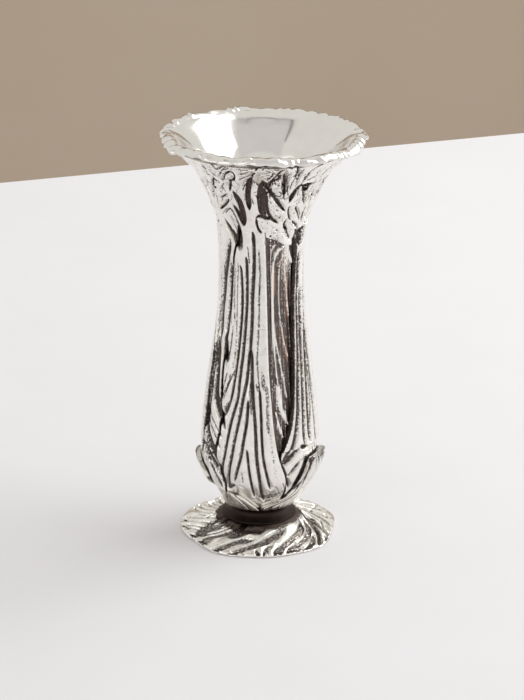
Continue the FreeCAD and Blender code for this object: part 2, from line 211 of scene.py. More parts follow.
# halo: a wider band of darkness beside the cut, painted shade on the sides of the ribs that the material also
# breaks into speckled oxide
reliefKinds = {
    "slit": {"depth": 1.25, "dark": 1.0, "flat": True, "shoulder": 0.1, "halo": 0.35},
    "groove": {"depth": 1.0, "dark": 1.0, "flat": False, "shoulder": 0.42, "halo": 0.34},
    "trench": {"depth": 1.05, "dark": 1.0, "flat": True, "shoulder": 0.5, "halo": 0.45},
    "line": {"depth": 0.35, "dark": 0.75, "flat": False, "shoulder": 0.2},
    "faint": {"depth": 0.15, "dark": 0.42, "flat": False, "shoulder": 0.1},
    "speckle": {"depth": 0.12, "dark": 0.62, "flat": True, "shoulder": 0.0},
    "ridge": {"depth": -0.55, "dark": -1.0, "flat": False, "shoulder": 0.0},
    "thinRidge": {"depth": -0.3, "dark": -0.62, "flat": False, "shoulder": 0.0},
}
pixelSize = 0.355   # mm on the vase for one pixel
strokeShape = {
    "flatFrom": 1.35, "flatTo": 0.8, "shoulder": 2.8, "halo": 1.9, "reach": 4.0, "far": 9.0,   # half widths
    "shallow": 0.35, "fullDepth": 0.45,   # a stroke under this half width in mm is cut less deep
    "blunt": 0.06, "narrowest": 0.42,
}


def makeSheet(azimuth, height):
    sheet = {"azimuth": azimuth, "s": slant(height), "radius": np.interp(height, profileZ, profileR)}
    for key in ("height", "dark", "warm"):
        sheet[key] = np.zeros(azimuth.shape)
    return sheet


def smoothPath(points, steps):
    if len(points) < 3:
        return [tuple(p) for p in points]
    rows = [points[0]] + list(points) + [points[-1]]
    path = []
    for k in range(1, len(rows) - 2):
        a, b, c, d = (np.array(rows[k + j], float) for j in (-1, 0, 1, 2))
        for j in range(steps):
            t = j / steps
            path.append(tuple(0.5 * (2 * b + (c - a) * t + (2 * a - 5 * b + 4 * c - d) * t ** 2
                                     + (3 * b - a - 3 * c + d) * t ** 3)))
    path.append(tuple(rows[-1]))
    return path


def nearPath(sheet, path, halfWidth, taper):
    # distance of each point from the path as a share of the path's half width there
    place = [(math.radians(a), float(slant(z)), float(np.interp(z, profileZ, profileR))) for a, z in path]
    steps = [math.hypot((q[0] - p[0]) * p[2], q[1] - p[1]) for p, q in zip(place[:-1], place[1:])]
    total = sum(steps) or 1.0
    reached = 0.0
    near = np.full(sheet["azimuth"].shape, strokeShape["far"])
    turn = np.radians(sheet["azimuth"])
    for (a0, s0, r0), (a1, s1, r1), step in zip(place[:-1], place[1:], steps):
        widths = []
        for at in (reached, reached + step):
            fromEnd = min(at, total - at) / (taper * halfWidth) if taper else 1.0
            widths.append(halfWidth * math.sqrt(min(max(fromEnd, strokeShape["blunt"]), 1.0)))
        reached += step
        margin = strokeShape["reach"] * halfWidth
        reach = margin / min(r0, r1)
        box = ((turn > min(a0, a1) - reach) & (turn < max(a0, a1) + reach)
               & (sheet["s"] > min(s0, s1) - margin) & (sheet["s"] < max(s0, s1) + margin))
        if not box.any():
            continue
        across = sheet["radius"][box]
        ux, uy = (a1 - a0) * across, s1 - s0
        px, py = (turn[box] - a0) * across, sheet["s"][box] - s0
        t = np.clip((px * ux + py * uy) / (ux * ux + uy * uy + 1e-9), 0.0, 1.0)
        width = widths[0] + t * (widths[1] - widths[0])
        near[box] = np.minimum(near[box], np.hypot(px - t * ux, py - t * uy) / width)
    return near


def draw(sheet, kind, halfWidth, path, taper=6.0, strength=1.0):
    # cuts or raises one stroke, and darkens or brightens it; the darkening is oxide in the cut and, in the
    # halo, painted shade on the rib sides mixed with speckled oxide
    shape = reliefKinds[kind]
    near = nearPath(sheet, smoothPath(path, 4), halfWidth, taper)
    if shape["flat"]:
        cut = smoothStep(strokeShape["flatFrom"], strokeShape["flatTo"], near)
    else:
        cut = np.exp(-near ** 2)
    deep = strength * min(1.0, strokeShape["shallow"] + halfWidth / strokeShape["fullDepth"])
    shoulder = shape["shoulder"] * np.exp(-(near / strokeShape["shoulder"]) ** 2)
    sheet["height"] -= shape["depth"] * deep * (cut + shoulder)
    if shape["dark"] > 0:
        # painted shade beside the cut, partly speckled oxide
        halo = shape.get("halo", 0.0) * np.exp(-(near / strokeShape["halo"]) ** 2)
        covered = min(1.0, shape["dark"] * strength) * np.maximum(cut, halo)
        sheet["dark"] = 1 - (1 - sheet["dark"]) * (1 - covered)
    else:
        sheet["dark"] *= 1 + shape["dark"] * strength * cut


def drawPhoto(sheet, strokes, widen=1.0, inset=0.0, strength=1.0, upright=True):
    # an upright face turned from the camera shows its strokes narrower than they are
    for kind, width, points in strokes:
        path = [onVase(x, y, inset) for x, y in points]
        middle = math.radians(path[len(path) // 2][0])
        facing = max(strokeShape["narrowest"], math.cos(middle)) if upright else 1.0
        draw(sheet, kind, width * widen * pixelSize / facing, path, 3.0, strength)


# Meshes are built in millimetres and stored in metres

def meshObject(name, points, faces, values, material, flatFaces=0):
    mesh = bpy.data.meshes.new(name)
    mesh.from_pydata((np.asarray(points) * mm).tolist(), [], faces)
    for key, data in values.items():
        layer = mesh.attributes.new(key, "FLOAT", "POINT")
        layer.data.foreach_set("value", np.asarray(data, np.float32))
    smooth = np.ones(len(faces), bool)
    if flatFaces:
        smooth[-flatFaces:] = False
    mesh.polygons.foreach_set("use_smooth", smooth)
    mesh.materials.append(material)
    mesh.update()
    return addObject(name, mesh)


def gridFaces(rows, columns, start=0, inward=False):
    faces = []
    for j in range(rows - 1):
        for i in range(columns - 1):
            k = start + j * columns + i
            above = k + columns
            faces.append((k + 1, k, above, above + 1) if inward else (k, k + 1, above + 1, above))
    return faces


def stripObject(name, outer, inner, values, material, unseenDark=1.0):
    # closed solid between a fine outer grid and a coarse inner one with as many rows
    rows, columns = outer.shape[:2]
    backColumns = inner.shape[1]
    first = rows * columns
    points = np.concatenate([outer.reshape(-1, 3), inner.reshape(-1, 3)])
    faces = gridFaces(rows, columns)
    front = len(faces)
    faces += gridFaces(rows, backColumns, first, True)
    for j in range(rows - 1):
        left, back = j * columns, first + j * backColumns
        faces.append((left, left + columns, back + backColumns, back))
        right, behind = left + columns - 1, back + backColumns - 1
        faces.append((right + columns, right, behind, behind + backColumns))
    faces.append(tuple(range(first, first + backColumns)) + tuple(range(columns - 1, -1, -1)))
    top, topBack = (rows - 1) * columns, first + (rows - 1) * backColumns
    faces.append(tuple(range(top, top + columns))
                 + tuple(range(topBack + backColumns - 1, topBack - 1, -1)))
    # back, side and end faces, hidden in the gaps between pieces, take the unseen darkness: painted shade
    # there
    filled = {}
    for key, data in values.items():
        unseen = unseenDark if key == "dark" else 0.0
        filled[key] = np.concatenate([data.reshape(-1), np.full(rows * backColumns, unseen)])
    return meshObject(name, points, faces, filled, material, len(faces) - front)


# Materials: a finish that varies reads the piece's own "dark" and "warm" attributes

# sizes in mm, the speckle of the tarnish drawn coarser than it is so that it shows
castSilver = {
    "polish": "#F8F6F1", "softer": "#ECE8E1", "oxide": "#504844", "brown": "#664F43", "copper": "#A5765A",
    "speckleSize": 0.45, "wearSize": 2.4, "pitSize": 0.25,
    "speckleFrom": 0.32, "speckleTo": 0.68, "firstOxide": 0.16, "oxideEdge": 0.14,
    "wearFrom": 0.42, "wearTo": 0.72, "wearBrown": 0.25, "wearDull": 0.08,
    "gloss": 0.2, "dull": 0.5, "pitDepth": 0.1,
}


def startMaterial(name):
    material = bpy.data.materials.new(name)
    material.use_nodes = True
    material.node_tree.nodes.clear()
    return material, material.node_tree


def silverMaterial(name, settings, warmShare=0.0, bump=0.12):
    # cast silver, oxidised and then polished: bright ribs, blackened hollows with a speckled edge; the
    # darkness it reads is oxide plus painted shade beside the grooves, along the strip edges and on hidden
    # faces
    material, tree = startMaterial(name)
    place = addNode(tree, "ShaderNodeTexCoord").outputs["Object"]
    dark, warm = (addNode(tree, "ShaderNodeAttribute", {"attribute_name": key}).outputs["Fac"]
                  for key in ("dark", "warm"))
    speckle, wear, pits = (
        addNode(tree, "ShaderNodeTexNoise", {}, {
            "Vector": place, "Scale": 1 / (settings[key] * mm), "Detail": detail, "Roughness": rough,
        }).outputs["Fac"]
        for key, detail, rough in (("speckleSize", 3.0, 0.6), ("wearSize", 4.0, 0.55), ("pitSize", 2.0, 0.5)))
    level = addNode(tree, "ShaderNodeMapRange", {}, {
        "Value": speckle, "From Min": settings["speckleFrom"], "From Max": settings["speckleTo"],
        "To Min": settings["firstOxide"], "To Max": 1.0}).outputs["Result"]
    # share of the dark colour: oxide, and painted shade where the dark attribute holds it
    over = addNode(tree, "ShaderNodeMath", {"operation": "SUBTRACT"}, {0: dark, 1: level}).outputs[0]
    oxide = addNode(tree, "ShaderNodeMapRange", {}, {
        "Value": over, "From Min": -settings["oxideEdge"], "From Max": settings["oxideEdge"],
    }).outputs["Result"]
    worn = addNode(tree, "ShaderNodeMapRange", {}, {
        "Value": wear, "From Min": settings["wearFrom"], "From Max": settings["wearTo"],
    }).outputs["Result"]
    brownShare = addNode(tree, "ShaderNodeMath", {"operation": "MULTIPLY_ADD"}, {
        0: worn, 1: settings["wearBrown"], 2: warmShare}).outputs[0]
    tone = {key: linearColour(settings[key]) for key in ("polish", "softer", "oxide", "brown", "copper")}
    for key, share, first, second in (
            ("bright", worn, "polish", "softer"), ("hollow", brownShare, "oxide", "brown"),
            ("tinted", warm, "hollow", "copper"), ("shown", oxide, "bright", "tinted")):
        tone[key] = addNode(tree, "ShaderNodeMix", {"data_type": "RGBA"}, {
            0: share, 6: tone[first], 7: tone[second]}).outputs[2]
    rough = addNode(tree, "ShaderNodeMapRange", {}, {
        "Value": oxide, "To Min": settings["gloss"], "To Max": settings["dull"]}).outputs["Result"]
    rougher = addNode(tree, "ShaderNodeMath", {"operation": "MULTIPLY_ADD"}, {
        0: worn, 1: settings["wearDull"], 2: rough}).outputs[0]
    normal = addNode(tree, "ShaderNodeBump", {}, {
        "Strength": bump, "Distance": settings["pitDepth"] * mm, "Height": pits}).outputs["Normal"]
    metal = addNode(tree, "ShaderNodeBsdfPrincipled", {}, {
        "Base Color": tone["shown"], "Metallic": 1.0, "Roughness": rougher, "Normal": normal})
    addNode(tree, "ShaderNodeOutputMaterial", {}, {"Surface": metal.outputs["BSDF"]})
    return material


# bright worn ribs over dull, nearly black hollows
stalkSilver = silverMaterial("oxidised cast silver", castSilver)
# the same, lighter and coppery in the open hollow
hollowCast = {**castSilver, "oxide": "#5A524E", "brown": "#6C5D54", "dull": 0.34}
hollowSilver = silverMaterial("oxidised silver, coppery hollows", hollowCast, warmShare=0.22)
# soft bright leaves with crisp dark lines
leafSilver = silverMaterial("chased leaf silver", castSilver, warmShare=0.12)
# a dull dark ring that sets the bunch off from its foot
neckCast = {**castSilver, "oxide": "#2F2926", "brown": "#4A382F"}
neckSilver = silverMaterial("blackened turned silver", neckCast, warmShare=0.1, bump=0.2)
# sharp bright crests between browned furrows
footSilver = silverMaterial("swirled cast silver", castSilver, warmShare=0.1)


def plainMaterial(name, light, shade, size, gloss, spread, metallic=1.0):
    # one finish with an uneven tone and an uneven gloss, in clouds of a size in mm
    material, tree = startMaterial(name)
    place = addNode(tree, "ShaderNodeTexCoord").outputs["Object"]
    cloud = addNode(tree, "ShaderNodeTexNoise", {}, {
        "Vector": place, "Scale": 1 / (size * mm), "Detail": 4.0}).outputs["Fac"]
    colour = addNode(tree, "ShaderNodeMix", {"data_type": "RGBA"}, {
        0: cloud, 6: linearColour(light), 7: linearColour(shade)}).outputs[2]
    rough = addNode(tree, "ShaderNodeMath", {"operation": "MULTIPLY_ADD"}, {
        0: cloud, 1: spread, 2: gloss}).outputs[0]
    body = addNode(tree, "ShaderNodeBsdfPrincipled", {}, {
        "Base Color": colour, "Metallic": metallic, "Roughness": rough})
    addNode(tree, "ShaderNodeOutputMaterial", {}, {"Surface": body.outputs["BSDF"]})
    return material


# beaten, then burnished: clear reflections, bent where the hammer fell
beatenSilver = plainMaterial("beaten mirror silver", "#F2F0EC", "#E7E3DE", size=6.0, gloss=0.08, spread=0.05)
# drawn tube, never polished: brown yellow with a soft gloss
tubeBrass = plainMaterial("tarnished drawn brass", "#B79A5E", "#6E5836", size=3.0, gloss=0.32, spread=0.2)
# bought fasteners: an even cool grey
zincSteel = plainMaterial("zinc plated steel", "#C9CBCC", "#9DA0A3", size=1.5, gloss=0.3, spread=0.15)
# inner stalks that no polish reached: dark, with a dull gleam
tarnished = plainMaterial("tarnished inner silver", "#6E675F", "#2B2624", size=1.2, gloss=0.35, spread=0.2)
# painted boards: no gloss, so the vase's shadow stays soft
floorPaint = plainMaterial("pale matt floor", "#E8E7E9", "#E2E0E3", size=60.0, gloss=0.85, spread=0.1,
                           metallic=0.0)
backPaint = plainMaterial("warm grey backdrop", "#BBAB9A", "#AB9785", size=400.0, gloss=0.9, spread=0.1,
                          metallic=0.0)

print("materials ready")


def newTree(name, sockets):
    tree = bpy.data.node_groups.new(name, "GeometryNodeTree")
    tree.interface.new_socket("Geometry", in_out="INPUT", socket_type="NodeSocketGeometry")
    for label, kind in sockets:
        tree.interface.new_socket(label, in_out="INPUT", socket_type=kind)
    tree.interface.new_socket("Geometry", in_out="OUTPUT", socket_type="NodeSocketGeometry")
    return tree


def runTree(source, tree, settings, name):
    # sets the named inputs, evaluates the tree once and returns its result as a plain mesh object
    modifier = source.modifiers.new(tree.name, "NODES")
    modifier.node_group = tree
    for item in tree.interface.items_tree:
        if item.in_out == "INPUT" and item.name in settings:
            modifier[item.identifier] = settings[item.name]
    bpy.context.view_layer.update()
    evaluated = source.evaluated_get(bpy.context.evaluated_depsgraph_get())
    mesh = bpy.data.meshes.new_from_object(evaluated)
    source.modifiers.remove(modifier)
    piece = addObject(name, mesh)
    bpy.data.objects.remove(source)
    return piece


# Layers of the bunch: water tube, inner stalks, outer stalks, sheaths

layers = {
    "tubeBelly": 16.4, "tubeWaist": 11.0, "tubeBase": 10.5, "innerShare": 0.42, "baseShare": 0.7,
    "solder": 0.12, "edgeRound": 0.9, "edgeDrop": 0.8, "edgeDark": 0.85, "thinnest": 0.25, "backColumns": 9,
}


def tubeFace(height):
    flare = max(0.0, (height - vase["waist"]) / (vase["collar"] - vase["waist"]))
    whole = bunchFace(height, layers["tubeBase"], layers["tubeBelly"], layers["tubeWaist"])
    return whole - vase["collarFlare"] * flare ** 2


def layerFace(height, share):
    return tubeFace(height) + share * (stalkFace(height) - tubeFace(height))


def outerShare(height):
    rise = min((height - vase["neckTop"]) / (vase["belly"] - vase["neckTop"]), 1.0)
    return layers["baseShare"] + (1 - layers["baseShare"]) * rise ** 2 * (3 - 2 * rise)


def stripSheet(edges, heights, columns):
    shares = (heights - edges["low"]) / (edges["high"] - edges["low"])
    left = np.array([along(edges["rows"], share, 1) for share in shares])
    right = np.array([along(edges["rows"], share, 2) for share in shares])
    across = np.linspace(0.0, 1.0, columns)
    azimuth = left[:, None] + (right - left)[:, None] * across[None, :]
    return makeSheet(azimuth, np.repeat(heights[:, None], columns, axis=1))


def edgeDrop(sheet, wide, drop):
    # the two long edges of a strip are rounded over
    turn = np.radians(sheet["azimuth"])
    fromLeft = (turn - turn[:, :1]) * sheet["radius"]
    fromRight = (turn[:, -1:] - turn) * sheet["radius"]
    near = np.clip(1 - np.minimum(fromLeft, fromRight) / wide, 0.0, 1.0)
    return drop * (1 - np.sqrt(np.clip(1 - near ** 2, 0.0, 1.0))), near


def stripPiece(name, edges, heights, columns, outerRadius, innerRadius, decorate, material, node):
    # one strip of the bunch: a decorated outside, a plain back and rounded long edges
    sheet = stripSheet(edges, heights, columns)
    decorate(sheet)
    drop, near = edgeDrop(sheet, edges.get("round", layers["edgeRound"]),
                          edges.get("drop", layers["edgeDrop"]))
    # the rounded long edges are painted dark: painted shade where the strips meet, partly oxide
    edgeDark = edges.get("edgeDark", layers["edgeDark"])
    sheet["dark"] = np.maximum(sheet["dark"], edgeDark * smoothStep(0.55, 1.0, near))
    outside = np.array([outerRadius(float(z)) for z in heights])
    inside = np.array([innerRadius(float(z)) for z in heights])
    lowest = inside[:, None] + layers["thinnest"]
    radius = np.maximum(outside[:, None] + sheet["height"] - drop, lowest)
    level = np.repeat(heights[:, None], columns, axis=1)
    outer = polar(radius, sheet["azimuth"], level)
    back = np.linspace(0, columns - 1, layers["backColumns"]).astype(int)
    backAzimuth = sheet["azimuth"][:, back]
    inner = polar(np.repeat(inside[:, None], len(back), axis=1), backAzimuth, level[:, back])
    values = {"dark": sheet["dark"], "warm": sheet["warm"]}
    piece = stripObject(name, outer, inner, values, material, edges.get("unseenDark", 1.0))
    if node:
        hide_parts(node)
    return piece


made = []


ribPlan = {
    "points": 15, "swing": (0.01, 0.03), "waves": 5, "uneven": (0.8, 1.25),
    "forkPoints": 7, "forkShare": (0.08, 0.92), "forkStart": (0.0, 0.7), "forkLength": (0.15, 0.4),
    "forkLean": 0.04, "forkHalf": (0.5, 0.8),
}


def ribsBetween(edges, shares, halfWidth, seed, forks=0):
    # grooves that run the length of a strip at shares of its width, and short forks between them
    draws = random.Random(seed)
    lines = []
    low, high = edges["low"], edges["high"]

    def azimuthAt(t, share):
        left, right = along(edges["rows"], t, 1), along(edges["rows"], t, 2)
        return left + share * (right - left)

    for share in shares:
        phase, swing = draws.uniform(0, 6.28), draws.uniform(*ribPlan["swing"])
        line = []
        for k in range(ribPlan["points"]):
            t = k / (ribPlan["points"] - 1)
            z = low + (high - low) * (0.004 + 0.992 * t)   # stops just short of both ends
            line.append((azimuthAt(t, share + swing * math.sin(phase + ribPlan["waves"] * t)), z))
        lines.append(("groove", halfWidth * draws.uniform(*ribPlan["uneven"]), line, 0.0))
    for k in range(forks):
        share, start = draws.uniform(*ribPlan["forkShare"]), draws.uniform(*ribPlan["forkStart"])
        length = draws.uniform(*ribPlan["forkLength"])
        line = []
        for j in range(ribPlan["forkPoints"]):
            reached = j / (ribPlan["forkPoints"] - 1)
            t = min(start + length * reached, 1.0)
            line.append((azimuthAt(t, share + ribPlan["forkLean"] * reached), low + (high - low) * t))
        lines.append(("line", halfWidth * draws.uniform(*ribPlan["forkHalf"]), line, 8.0))
    return lines


def drawLines(sheet, lines, kind=None, taper=None, strength=1.0):
    for ownKind, halfWidth, path, ownTaper in lines:
        draw(sheet, kind or ownKind, halfWidth, path, ownTaper if taper is None else taper, strength)


# Outer stalks

stalkEdges = {
    "front_stalk": [
        (0.0, -40.0, 30.0), (0.10, -44.0, 30.0), (0.20, -47.0, 20.0), (0.30, -42.0, 15.0),
        (0.40, -44.0, 12.5), (0.52, -46.0, 10.0), (0.70, -45.0, 8.5), (0.86, -42.0, 6.5),
        (1.0, -30.0, 4.0)],
    "left_stalk": [
        (0.0, -84.0, -42.5), (0.20, -74.0, -49.5), (0.30, -72.0, -44.5), (0.40, -72.0, -46.5),
        (0.52, -74.0, -48.5), (0.70, -84.0, -47.5), (0.86, -92.0, -44.5), (1.0, -90.0, -32.5)],
    "back_left_stalk": [
        (0.0, -140.0, -87.0), (0.25, -134.0, -76.0), (0.50, -132.0, -77.0), (0.75, -136.0, -90.0),
        (1.0, -142.0, -93.0)],
    "back_stalk": [
        (0.0, -196.0, -143.0), (0.25, -200.0, -137.0), (0.50, -192.0, -145.0), (0.75, -196.0, -144.0),
        (1.0, -200.0, -145.0)],
    "back_right_stalk": [
        (0.0, 112.0, 161.0), (0.25, 120.0, 157.0), (0.50, 116.0, 164.0), (0.75, 110.0, 160.0),
        (1.0, 112.0, 157.0)],
    "right_stalk": [
        (0.0, 34.0, 108.0), (0.10, 32.5, 112.0), (0.17, 24.0, 113.0), (0.21, 22.5, 113.0),
        (0.27, 30.0, 114.0), (0.33, 36.0, 114.0), (0.45, 42.0, 112.0), (0.60, 46.5, 110.0),
        (0.75, 51.0, 107.0), (0.86, 56.0, 105.0), (1.0, 50.0, 108.0)],
}

# kind, half width in pixels, places in the picture from top to bottom
frontRibs = [
    ("line", 0.45, [(232, 256), (231.4, 280), (230.6, 305), (230, 328)]),
    ("faint", 0.9, [(235, 260), (234.6, 285), (234.2, 310), (234, 330)]),
    ("line", 0.4, [(237.6, 262), (237, 285), (236.6, 310), (236, 332)]),
    ("line", 0.7, [(232.3, 326), (230.8, 343), (227.6, 362)]),
    ("line", 0.8, [(233, 372), (227, 386), (219.6, 400)]),
    ("faint", 0.8, [(236.4, 330), (235, 350), (232, 370)]),
    ("groove", 1.3, [(203.6, 444), (206.4, 453), (210.4, 462), (213.6, 470)]),
    ("groove", 1.6, [(213.4, 459), (216.4, 468), (219.4, 478), (222.4, 488)]),
    ("line", 0.8, [(208, 463), (212, 472), (216.6, 482), (220, 489)]),
    ("groove", 1.0, [(239.5, 266), (240.5, 280), (241.2, 300), (240.4, 320), (237.6, 350), (233.5, 380),
                     (230.5, 397), (226.8, 408), (223.5, 416)]),
    ("groove", 1.25, [(245.5, 258), (246, 280), (246, 300), (245, 320), (242.5, 350), (238.7, 380),
                      (236.3, 400), (230.5, 420), (226, 440), (222, 460), (218.5, 478)]),
    ("groove", 1.5, [(252.5, 233), (253.4, 250), (253.5, 270), (251.9, 300), (251.6, 320), (249.7, 350),
                     (246.3, 380), (242, 400), (238.2, 420), (233.6, 440), (229.8, 460), (226.6, 480),
                     (225.5, 489)]),
    ("groove", 1.25, [(247.6, 402), (246.8, 415), (245.4, 428), (242.8, 442), (240, 458), (236, 472),
                      (233, 482)]),
    ("groove", 1.45, [(250.4, 352), (251.2, 368), (251.6, 382), (252.6, 400), (254.4, 420), (255.6, 440),
                      (256.6, 460), (259.4, 480), (261.5, 494), (264, 502)]),
    ("line", 1.0, [(258.6, 250), (260, 270), (259.8, 285), (259.2, 300), (259, 320), (258.2, 340),
                   (257.2, 358), (258, 375), (259.6, 392)]),
    ("groove", 0.95, [(259.8, 392), (261, 415), (262, 440), (263.6, 460), (267.6, 478), (271, 490)]),
    ("groove", 0.95, [(246.4, 451), (247.6, 463), (249.2, 476), (251.4, 488), (254, 498)]),
    ("line", 0.7, [(241, 473), (241.8, 479), (242.2, 484)]),
    ("speckle", 1.6, [(262, 372), (263.5, 384), (265, 392)]),
    ("speckle", 1.2, [(266.8, 386), (267.4, 400), (267.8, 420), (268.6, 434)]),
    ("speckle", 1.2, [(256, 384), (258, 390), (261, 394)]),
    ("speckle", 1.0, [(250.2, 382), (250.4, 400), (251, 415)]),
    ("faint", 1.5, [(269.6, 430), (271.6, 448), (274, 464), (276.4, 478)]),
    ("speckle", 0.9, [(262.5, 323), (265, 329)]),
    ("line", 0.9, [(262, 330), (265.5, 330)]),
    ("speckle", 0.8, [(265, 346), (266.4, 353)]),
    ("line", 0.7, [(247.2, 247), (248.2, 258), (248.8, 264)]),
    ("speckle", 0.7, [(259, 284), (258.8, 300)]),
    ("speckle", 2.0, [(258, 497), (264, 499), (272, 497), (280, 494)]),
    ("line", 0.7, [(276, 488), (281, 497)]),
    ("line", 0.6, [(283, 484), (287, 494)]),
    ("line", 0.8, [(268, 492), (273, 500)]),
    ("groove", 1.2, [(226, 490), (229.5, 487.6), (233.5, 486)]),
    ("line", 0.9, [(239, 486.5), (242.5, 488.5)]),
    ("groove", 1.2, [(229, 262), (229.4, 280), (229, 296), (228, 308), (226.8, 322), (225.8, 336)]),
    ("slit", 1.7, [(225.6, 333), (225.3, 345), (225.4, 356), (226, 364)]),
    ("faint", 0.8, [(233, 256), (233.6, 275), (233.4, 290), (233.6, 305), (234.6, 322)]),
    ("line", 0.5, [(227, 372), (223, 386), (219.5, 398)]),
    ("line", 0.5, [(230, 374), (226.5, 388), (222.5, 400)]),
    ("line", 1.0, [(227.5, 403), (225, 408), (223.4, 413)]),
]
leftRibs = frontRibs[6:9] + [   # three folds of the front that are cut twice as deep
    ("groove", 1.35, [(229, 240), (226.4, 254), (223.8, 272), (222.7, 290), (221, 308), (220, 324),
                      (219, 340)]),
    ("slit", 1.8, [(219.5, 338), (218, 352), (217, 368), (216, 384), (215.6, 396), (217.4, 406),
                   (220.6, 417), (224, 428)]),
    ("speckle", 2.6, [(217, 338), (214, 350), (211, 364), (207.6, 378), (206, 392), (206, 410),
                      (206, 428)]),
    ("slit", 1.7, [(212, 352), (209.2, 364), (207, 378), (205.6, 394), (205, 412), (205.8, 428), (208, 440),
                   (210.6, 450), (213.6, 461)]),
    ("slit", 1.3, [(211, 440), (213, 450), (215.4, 457)]),
    ("line", 0.8, [(208.6, 404), (210.6, 415), (214.6, 425), (219, 433.5), (221.5, 438)]),
    ("line", 0.8, [(207.8, 414), (210, 424), (214, 434), (218, 445), (219.4, 450)]),
    ("line", 0.7, [(207, 424), (209.6, 434), (213, 445), (216, 453)]),
    ("line", 0.6, [(210.6, 372), (209.6, 388), (210, 402)]),
    ("faint", 0.7, [(213, 366), (212.4, 384), (213, 400)]),
    ("line", 0.6, [(200.6, 426), (201.8, 440), (204.6, 452), (208, 462)]),
    ("faint", 0.9, [(220.5, 262), (219.6, 290), (217.6, 316), (214.6, 336)]),
]
rightRibs = [
    ("groove", 1.55, [(300.8, 250), (300, 270), (299.2, 296), (299.8, 330), (300.3, 360), (300, 385),
                      (300, 405), (299, 421), (297.2, 436), (294.6, 447), (291, 455), (287, 462.5),
                      (284.5, 468)]),
    ("groove", 1.08, [(302.4, 285), (302.8, 320), (304.2, 358), (304.9, 385), (305.4, 410), (305.7, 430),
                     (306.2, 444)]),
    ("groove", 0.81, [(305.2, 252), (305.4, 300), (306.8, 340), (308.2, 370), (309.5, 400), (310.6, 424),
                     (311.6, 441)]),
    ("line", 0.68, [(307.2, 330), (309.6, 360), (311.8, 387), (313.8, 407), (315.7, 430), (317.8, 447)]),
    ("line", 0.54, [(310.5, 366), (313, 386), (315, 405)]),
    ("faint", 0.68, [(297.2, 290), (297.6, 330), (297.9, 370), (297.4, 410)]),
    ("slit", 1.35, [(302, 446), (305.5, 447.4), (309.5, 447.4)]),
    ("groove", 1.35, [(303, 448), (296, 457), (287, 466.5)]),
    ("groove", 1.35, [(303.6, 462), (298, 469.5), (291, 477.6)]),
    ("line", 1.22, [(299, 452), (291, 461), (283.6, 468)]),
    ("groove", 1.62, [(281, 463), (286, 476), (292, 489)]),
    ("line", 1.22, [(303.6, 474), (300, 481), (295.6, 488)]),
    ("speckle", 2.4, [(304, 470), (301, 480), (296, 488)]),
]
